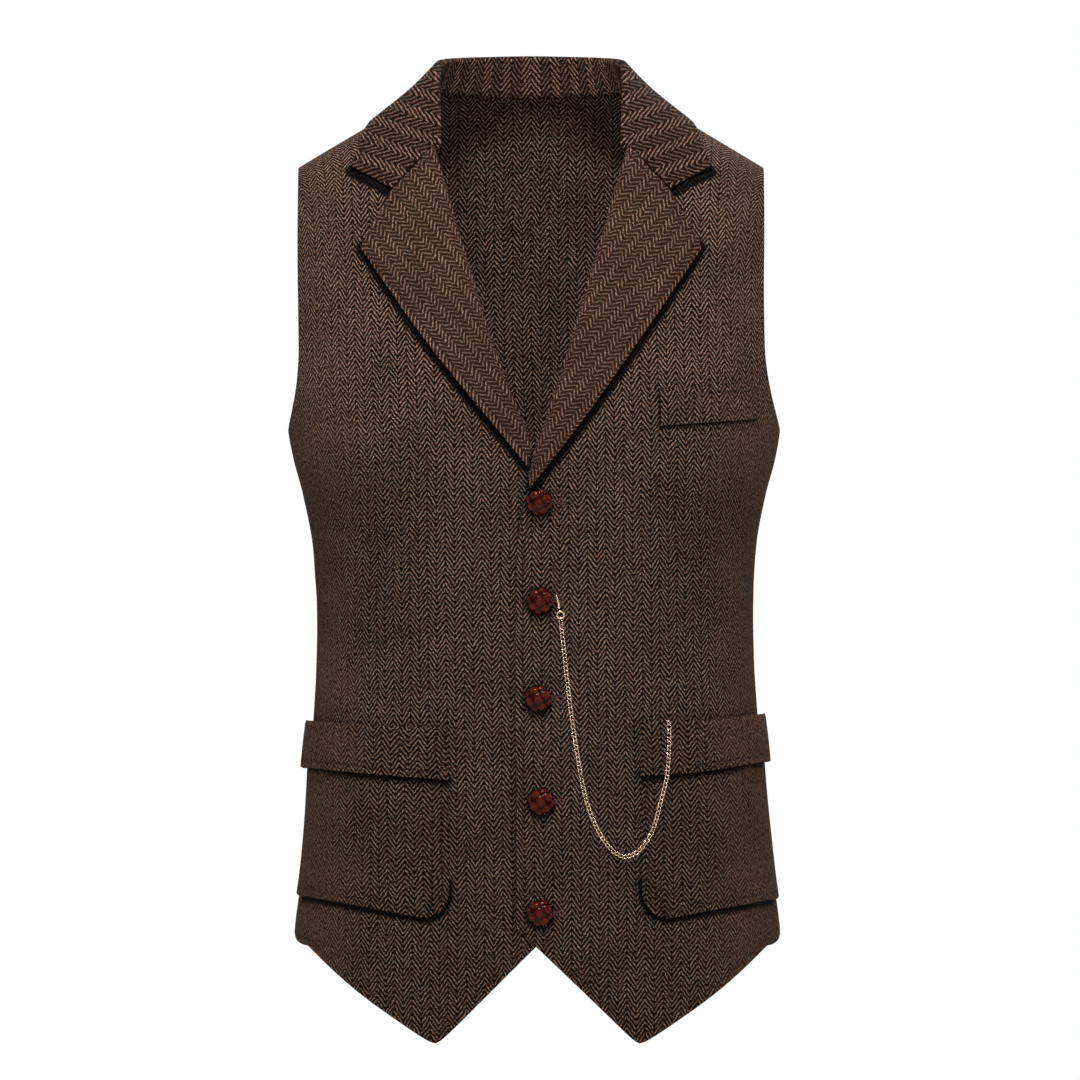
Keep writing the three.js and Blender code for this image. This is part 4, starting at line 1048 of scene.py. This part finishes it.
collar = {
    "foldRadius": 2.5, "wall": 1.9, "rounding": 0.85, "least": 2.0, "along": 150, "sunk": 5,
    "standRows": 8, "foldRows": 12, "fallRows": 24, "turnAt": 0.26, "tilt": 0.37, "hidden": 40,
    "shade": {"end": (8.2, 0.75), "edge": (3.0, -0.6), "back": (5.0, 0.0)},
    "sections": [
        {"seam": (71.3, None, -44, -0.9), "fold": (68, None, -41.4, 1.5), "belly": (103.2, None, -75.6, 3.0),
         "edge": (132.8, None, -60.2, 4.6), "sharp": 1},
        {"seam": (74.2, None, -26, -0.6), "fold": (69.4, -55.5, -16), "belly": (98, None, -48, 3.2),
         "edge": (128.5, None, -45.5, 2.6), "sharp": 0.35},
        {"seam": (76, -24, -7), "fold": (70.2, -30, 7), "belly": (92, -31, -8.5),
         "edge": (123.5, None, -31.5, 2), "sharp": 0},
        {"seam": (77.5, 2, 1), "fold": (68.3, -2, 20), "belly": (89, 0, 1.5),
         "edge": (118, 2, -22), "sharp": 0},
        {"seam": (71.5, 26, 1.5), "fold": (64.5, 27, 23.5), "belly": (83, 36, 3),
         "edge": (108, 44, -22), "sharp": 0},
        {"seam": (54, 50, 0.5), "fold": (50.5, 52, 25), "belly": (64, 68, 3),
         "edge": (80, 80, -23), "sharp": 0},
        {"seam": (28, 68.5, -0.5), "fold": (26.5, 70, 26), "belly": (33, 85, 4),
         "edge": (42, 94, -22), "sharp": 0},
        {"seam": (0, 74.5, -1), "fold": (0, 75, 26.5), "belly": (0, 90, 5),
         "edge": (0, 97, -21.5), "sharp": 0},
    ],
}


def collarPoint(spec, side):
    if len(spec) == 4:
        at = seenAt(-1, np.array(side * spec[0], float), np.array(spec[2], float))
        return surface(-1, at[0], at[1]) + normalAt(-1, at[0], at[1]) * spec[3]
    return np.array([side * spec[0] + shoulder["lean"], spec[1], spec[2]])


def addCollar():
    rows, keys = collar["sections"], ("seam", "fold", "belly", "edge")
    halves = [[{key: collarPoint(row[key], side) for key in keys} | {"sharp": row["sharp"]} for row in rows]
              for side in (-1, 1)]
    sections = halves[0] + halves[1][::-1][1:]
    t = np.linspace(0, 1, collar["along"] + 1)
    t = np.unique(np.concatenate([t, [0.001, 0.0025, 0.9975, 0.999]]))
    foot, fold, belly, edge = (centripetal([row[key] for row in sections], t) for key in keys)
    sharp = np.interp(t * (len(sections) - 1), np.arange(len(sections)), [row["sharp"] for row in sections])
    up = fold - foot
    up /= np.linalg.norm(up, axis=1)[:, None]
    out = edge - foot
    out -= (out * up).sum(1)[:, None] * up
    out /= np.linalg.norm(out, axis=1)[:, None]
    r = collar["foldRadius"]
    centre = fold - up * (r + collar["wall"] / 2)
    standTop, fallTop = centre - out * r, centre + out * r
    foot = foot - up * collar["sunk"] * smooth(np.minimum(t, 1 - t), 0.02, 0.12)[:, None]
    profile = [foot + (standTop - foot) * w for w in np.linspace(0, 1, collar["standRows"], endpoint=False)]
    for turn in np.linspace(0, math.pi, collar["foldRows"], endpoint=False):
        profile.append(centre - out * r * math.cos(turn) + up * r * math.sin(turn))
    for w in np.unique(np.append(np.linspace(0, 1, collar["fallRows"] + 1), [0.97, 0.985, 0.993])):
        bent = fallTop + (belly - fallTop) * 2 * w if w <= 0.5 else belly + (edge - belly) * (2 * w - 1)
        curved = np.array([centripetal([a, b, c], [w])[0] for a, b, c in zip(fallTop, belly, edge)])
        point = bent * sharp[:, None] + curved * (1 - sharp[:, None])
        for _ in range(4 if w > 0 else 0):
            off, way = beyondBody(point)
            point = point + way * np.maximum(collar["least"] - off, 0)[:, None]
        profile.append(point)
    middle = np.stack(profile, axis=1)
    normal = np.cross(np.gradient(middle, axis=0), np.gradient(middle, axis=1))
    normal /= np.linalg.norm(normal, axis=-1, keepdims=True)
    thick = normal * (collar["wall"] / 2 - drawnBack(middle, allEdges, collar["rounding"]))[..., None]
    fallFrom = collar["standRows"] + collar["foldRows"]
    crest = collar["standRows"] + collar["foldRows"] // 2
    far = np.array([lengths(row) for row in middle])
    run = lengths(middle[:, crest])
    run -= run[-1] / 2
    # square to the fold behind the neck, tilted at the front ends
    behind = np.stack([np.repeat(run[:, None], far.shape[1], 1), far - far[:, crest:crest + 1]], axis=-1)
    ahead = np.zeros(behind.shape)
    fromEnd, rise = np.minimum(t, 1 - t), middle[..., 2]
    level, steep = math.cos(collar["tilt"]), math.sin(collar["tilt"])
    for side, mine in ((-1, t < 0.5), (1, t >= 0.5)):
        row = np.flatnonzero(mine)[np.argmin(np.abs(fromEnd[mine] - collar["turnAt"]))]
        beside = side * middle[..., 0]
        u, v = -side * (rise * level - beside * steep), beside * level + rise * steep
        ahead[mine] = np.stack([u - u[row, crest] + run[row], v - v[row, crest]], axis=-1)[mine]
    share = smooth(fromEnd, collar["turnAt"] - 0.05, collar["turnAt"] + 0.05)[:, None, None]
    grain = ahead * (1 - share) + behind * share
    sewn = ("right", "top", "bottom")
    border = fromEdges(middle, sewn)
    border[:, :fallFrom] = collar["hidden"]
    dress(shell("collar_cloth", middle + thick, middle - thick, grain, border, collarTweed), "tweed", "collar")
    quarter, shade = len(t) // 4, collar["shade"]
    for side, rows in ((-1, slice(0, quarter)), (1, slice(-1, -quarter, -1))):
        edges = [(middle[rows][0, fallFrom + 12:], *shade["end"]), (middle[rows, -1], *shade["edge"])]
        covers[side].append((outlineOf(bodyCoords(middle[rows, fallFrom:])), edges))
    behind = middle[quarter:-quarter, fallFrom:]
    covers["back"].append((outlineOf(bodyCoords(behind)), [(behind[:, -1], *shade["back"])]))
    sew("collar", middle + thick, middle, sewn, grain, border)


addCollar()
print("collar made")


# the chest welt, the patch pockets and their flaps, on the fronts

# below and beside: width of the painted shade under and beside the welt on the front, and where it starts to
# fade
welt = {"from": (94.3, -225.7), "to": (165.2, -220.4), "drop": 26.6, "rise": 0.9,
        "below": (3.5, 0.1), "beside": (2.5, -0.3)}
pockets = {
    "right": {"side": -1, "flapTop": [(64.4, -478.5), (129.5, -475.5), (163, -473)], "drops": (38.5, 35.5),
              "innerX": 65.5, "bottom": [(87, -619.5), (150, -608)], "foot": -602.7, "flapEnd": -472.5},
    "left": {"side": 1, "flapTop": [(76, -473.2), (119.5, -472.5), (163, -468.2)], "drops": (41, 36),
             "innerX": 77.8, "bottom": [(100, -619.7), (150, -610.8)], "foot": -605.3, "flapEnd": -467.5},
}
# below, beside, flapOnPocket and flapOnFront: width of the painted shade cast by pockets and flaps on the
# cloth under them, and where it starts to fade
patch = {"corner": 19, "top": -482, "angle": 85, "swell": 1.6, "flapRise": 1.9, "below": (6.0, 0.35),
         "beside": (5.0, 0.2), "flapOnPocket": (5.6, 0.3), "flapOnFront": (4.0, 0.0)}


def addWelt():
    start, end = np.array(welt["from"]), np.array(welt["to"])
    low = np.array([0, welt["drop"]])
    across, down = parts(36, 71), parts(16, 27)
    grid = filled(laid(1, line(start, end), across), laid(1, line(start - low, end - low), across),
                  laid(1, line(start, start - low), down), laid(1, line(end, end - low), down))
    rise = layer + wall + np.linspace(welt["rise"], 0, len(grid))[:, None]
    points = clothPiece("chest_welt", -1, grid, rise, weltTweed,
                        turned=("top", "left", "right"), shift=(3.1, 1.7))
    covers[1].append((outlineOf(grid), [(points[-1], *welt["below"]), (points[:, 0], *welt["beside"])]))


addWelt()


def addPocket(name, spec):
    side = spec["side"]
    quarter = np.linspace(0, math.pi / 2, 25)
    start, end = spec["bottom"]
    corner = np.stack([spec["innerX"] + patch["corner"] * (1 - np.cos(quarter)),
                       start[1] + patch["corner"] * (1 - np.sin(quarter))], axis=-1)
    inner = joined(line((spec["innerX"], patch["top"]), corner[0]), corner[:13])
    last = [(x, end[1] + share * (spec["foot"] - end[1])) for x, share in ((162, 0.4), (171, 0.7))]
    low = joined(corner[12:], curve([corner[-1], start, end]))
    bottom = np.vstack([seen(-1, low, side), seen(-1, last, side),
                        onSide(side, np.array([spec["foot"]]), patch["angle"])])
    topEnd = onSide(side, np.array([patch["top"]]), patch["angle"])[0]
    across, down = parts(52, 110), parts(60, 130)
    grid = filled(spaced(-1, line(seen(-1, (spec["innerX"], patch["top"]), side), topEnd), across),
                  spaced(-1, bottom, across), laid(side, inner, down),
                  spaced(-1, onSide(side, np.linspace(patch["top"], spec["foot"], 49), patch["angle"]), down))
    # it bulges most in the middle, and not at its sewn edges
    u, v = np.linspace(0, 1, grid.shape[1])[None, :], np.linspace(0, 1, len(grid))[:, None]
    swell = patch["swell"] * (np.sin(np.pi * u) ** 0.6) * np.sin(np.pi * (0.3 + v * 0.7)) ** 0.6
    points = clothPiece("pocket_" + name, -1, grid, layer + wall + swell, pocketTweed,
                        turned=("bottom", "left"), shift=(1.9, 2.6), covers=flapCovers[name])
    edges = [(points[-1], *patch["below"]), (points[-14:, 0], *patch["beside"])]
    covers[side].append((outlineOf(grid), edges))


def addFlap(name, spec):
    side = spec["side"]
    top = curve(spec["flapTop"])
    drop = np.interp(top[:, 0], (spec["flapTop"][0][0], spec["flapTop"][-1][0]), spec["drops"])
    bottom = np.stack([top[:, 0], top[:, 1] - drop], axis=-1)
    end, foot = spec["flapEnd"], spec["flapEnd"] - spec["drops"][1]
    ends = onSide(side, np.array([end, foot]), patch["angle"])
    across, down = parts(56, 112), parts(22, 38)
    grid = filled(spaced(-1, np.vstack([seen(-1, top, side), ends[:1]]), across),
                  spaced(-1, np.vstack([seen(-1, bottom, side), ends[1:]]), across),
                  laid(side, line(top[0], bottom[0]), down),
                  spaced(-1, onSide(side, np.linspace(end, foot, 25), patch["angle"]), down))
    u, v = np.linspace(0, 1, grid.shape[1])[None, :], np.linspace(0, 1, len(grid))[:, None]
    wave = 0.5 * np.sin(u * 9 + side) * v**2
    rise = 2 * (layer + wall) + patch["flapRise"] * v**1.5 + 0.8 * np.sin(np.pi * v) ** 0.7 + wave + 0.6
    points = clothPiece("flap_" + name, -1, grid, rise, pocketTweed,
                        turned=("bottom", "left"), shift=(4.4, 0.8))
    flapCovers[name] = [(outlineOf(grid), [(points[-1], *patch["flapOnPocket"])])]
    covers[side].append((outlineOf(grid), [(points[-1], *patch["flapOnFront"])]))


flapCovers = {}
for name, spec in pockets.items():
    addFlap(name, spec)
    addPocket(name, spec)
print("welt, pockets and flaps made")

# shank buttons of woven leather: a dome of strips that pass over and under each other

button = {
    "radius": 9.75, "rings": 26, "segments": 72, "strip": 8.2, "relief": 1.5, "gap": 0.4,
    "profile": [(0, 8.0), (3.8, 7.6), (7.0, 6.5), (9.1, 4.7), (9.75, 2.8), (9.2, 1.2), (7.0, 0.0), (0, 0.0)],
    "shade": (4.2, -0.25), "low": 1.2,
    "places": [(3, -308.2), (3.7, -382.5), (2.3, -456), (4.5, -533.2), (3.7, -616.5)],
    "turns": [0.5, 0.62, 0.44, 0.58, 0.5],
}


def addButton(number, x, z, turn):
    origin, way = overFront(x, z, button["gap"])
    way, side, up = squareTo(way)
    profile = np.array(button["profile"])
    far = lengths(profile)
    steps = np.linspace(0, far[-1], button["rings"] + 1)[1:-1]
    r, h = np.interp(steps, far, profile[:, 0]), np.interp(steps, far, profile[:, 1])
    top = (steps < far[5])[:, None]
    angle = np.linspace(0, 2 * math.pi, button["segments"], endpoint=False)
    # strips of two ways over the dome; where one passes over, the other dips
    bow, strip = np.minimum(steps, far[5])[:, None], button["strip"]
    a, b = bow * np.cos(angle + turn) / strip, bow * np.sin(angle + turn) / strip
    i, j = np.floor(a + 0.5), np.floor(b + 0.5)
    over = (i + j) % 2 == 0
    width, long = np.where(over, a - i, b - j), np.where(over, b - j, a - i)
    bump = np.sqrt(np.clip(1 - (width / 0.5) ** 2, 0, 1)) * (0.55 + 0.45 * np.cos(np.pi * long))
    lift = button["relief"] * (bump - 0.8) * top
    slope = np.gradient(np.stack([r, h], -1), axis=0)
    outR, outH = np.array([-slope[:, 1], slope[:, 0]]) / np.linalg.norm(slope, axis=1)
    r, h = r[:, None] + outR[:, None] * lift, h[:, None] + outH[:, None] * lift
    around = np.cos(angle)[:, None] * side + np.sin(angle)[:, None] * up
    rings = origin + r[..., None] * around + h[..., None] * way
    crown = origin + way * (profile[0][1] - 0.2 * button["relief"])
    # painted shade: the hollows between strips and the underside of the dome get low values, which the finish
    # shows dark
    raised = np.concatenate([[0], (bump * np.where(top, 1, 0.3))[::-1].ravel(), [0.5]])
    piece = capped(f"button_{number}_knot", origin, rings[::-1], crown, leather,
                   {"relief": np.stack([raised, raised], axis=-1)})
    dress(piece, "button_leather", f"button_{number}")


for number, (place, turn) in enumerate(zip(button["places"], button["turns"]), 1):
    addButton(number, *place, turn)
print("buttons made")


# buttonholes: a worked slit from each button towards the wearer's left

hole = {"end": 20.5, "half": 1.0, "thread": 0.7, "pitch": 0.75}


def addButtonhole(number, x, z):
    reach = np.linspace(x - 4, hole["end"], int((hole["end"] - x + 4) / hole["pitch"]) * 2)
    eye = np.exp(-(((reach - hole["end"] + 1.5) / 1.8) ** 2)) * 0.9
    near = np.arange(len(reach)) % 2 == 0
    aside, out = hole["half"] * np.where(near, 0.3, 1.6) + eye, np.where(near, 0.25, 0.05)
    ways = [overFront(reach, z + edge * aside, out)[0] for edge in (-1, 1)]
    ends = np.linspace(-1, 1, 9)
    ways.append(overFront(hole["end"] + 0.4 * (1 - ends**2), z + ends * (hole["half"] + 1.0), 0.2)[0])
    dress(alongLines(f"buttonhole_{number}", ways, threadWork, {"Thick": hole["thread"]}), "tweed")


for number, place in enumerate(button["places"], 1):
    addButtonhole(number, *place)


# the fronts and the back, shaded by all that lies on them

# painted shade on the front round each button, set a little low
turn = np.linspace(0, 2 * math.pi, 33)
for x, z in button["places"]:
    r = button["radius"]
    circle = trueAt(-1, x + r * np.cos(turn), z - button["low"] + r * np.sin(turn))
    covers[1].append((circle[:-1], [(surface(-1, circle[:, 0], circle[:, 1]), *button["shade"])]))
leftPoints, leftGrid = addFront(1)
covers[-1].append((outlineOf(leftGrid), [(leftPoints[high["upper"]:, -1], *panel["shade"])]))
addFront(-1)
addBack()
print("fronts and back made")


# a plain pale floor in a pale room

floor = {"z": -0.80, "radius": 1.6, "sides": 96}


def addFloor():
    turn = np.linspace(0, 2 * math.pi, floor["sides"], endpoint=False)
    flat = floor["radius"] * np.array([np.cos(turn), np.sin(turn)])
    points = np.array([*flat, np.full(len(turn), floor["z"])]).T / mm
    material, _, _ = finish("Pale floor", **{"Roughness": 0.9, "Base Color": (0.92, 0.92, 0.91, 1)})
    meshObject("Pale floor", points, [range(len(turn))], None, material)


addFloor()


def softbox(name, place, aim, size, power):
    lamp = bpy.data.lights.new(name, "AREA")
    lamp.shape, lamp.size, lamp.size_y = "RECTANGLE", *size
    lamp.energy = power
    box = bpy.data.objects.new(name, lamp)
    box.location = place
    way = np.subtract(aim, place)
    flat = math.hypot(way[0], way[1])
    box.rotation_euler = (math.atan2(flat, -way[2]), 0, math.atan2(-way[0], way[1]))
    box.visible_camera = False
    scene.collection.objects.link(box)


softbox("Key above", (-0.15, -1.25, 1.35), (0, 0, -0.3), (0.6, 0.35), 47)
softbox("Fill ahead", (0.4, -3.2, -0.1), (0, 0, -0.35), (1.6, 1.2), 16)
softbox("Back above", (0.6, 2.4, 1.8), (0, 0, -0.3), (1.4, 0.8), 60)
softbox("Side left", (-2.6, -0.2, 0.6), (0, 0, -0.3), (0.8, 1.6), 9)
softbox("Side right", (2.6, -0.2, 0.6), (0, 0, -0.3), (0.8, 1.6), 15)

world = bpy.data.worlds.new("Pale room")
world.use_nodes = True
room = world.node_tree
lit = room.nodes["Background"]
lit.inputs[0].default_value = (1, 1, 1, 1)
direct = grow(room, "ShaderNodeLightPath")
glossy = grow(room, "ShaderNodeLightPath", out=3)
strength = ramp(room, direct, 0.0, 1.0, ramp(room, glossy, 0.0, 1.0, 0.36, 0.12, "LINEAR"), 1.0, "LINEAR")
room.links.new(strength, lit.inputs[1])
scene.world = world
scene.view_settings.view_transform = "Standard"
print("studio lit")
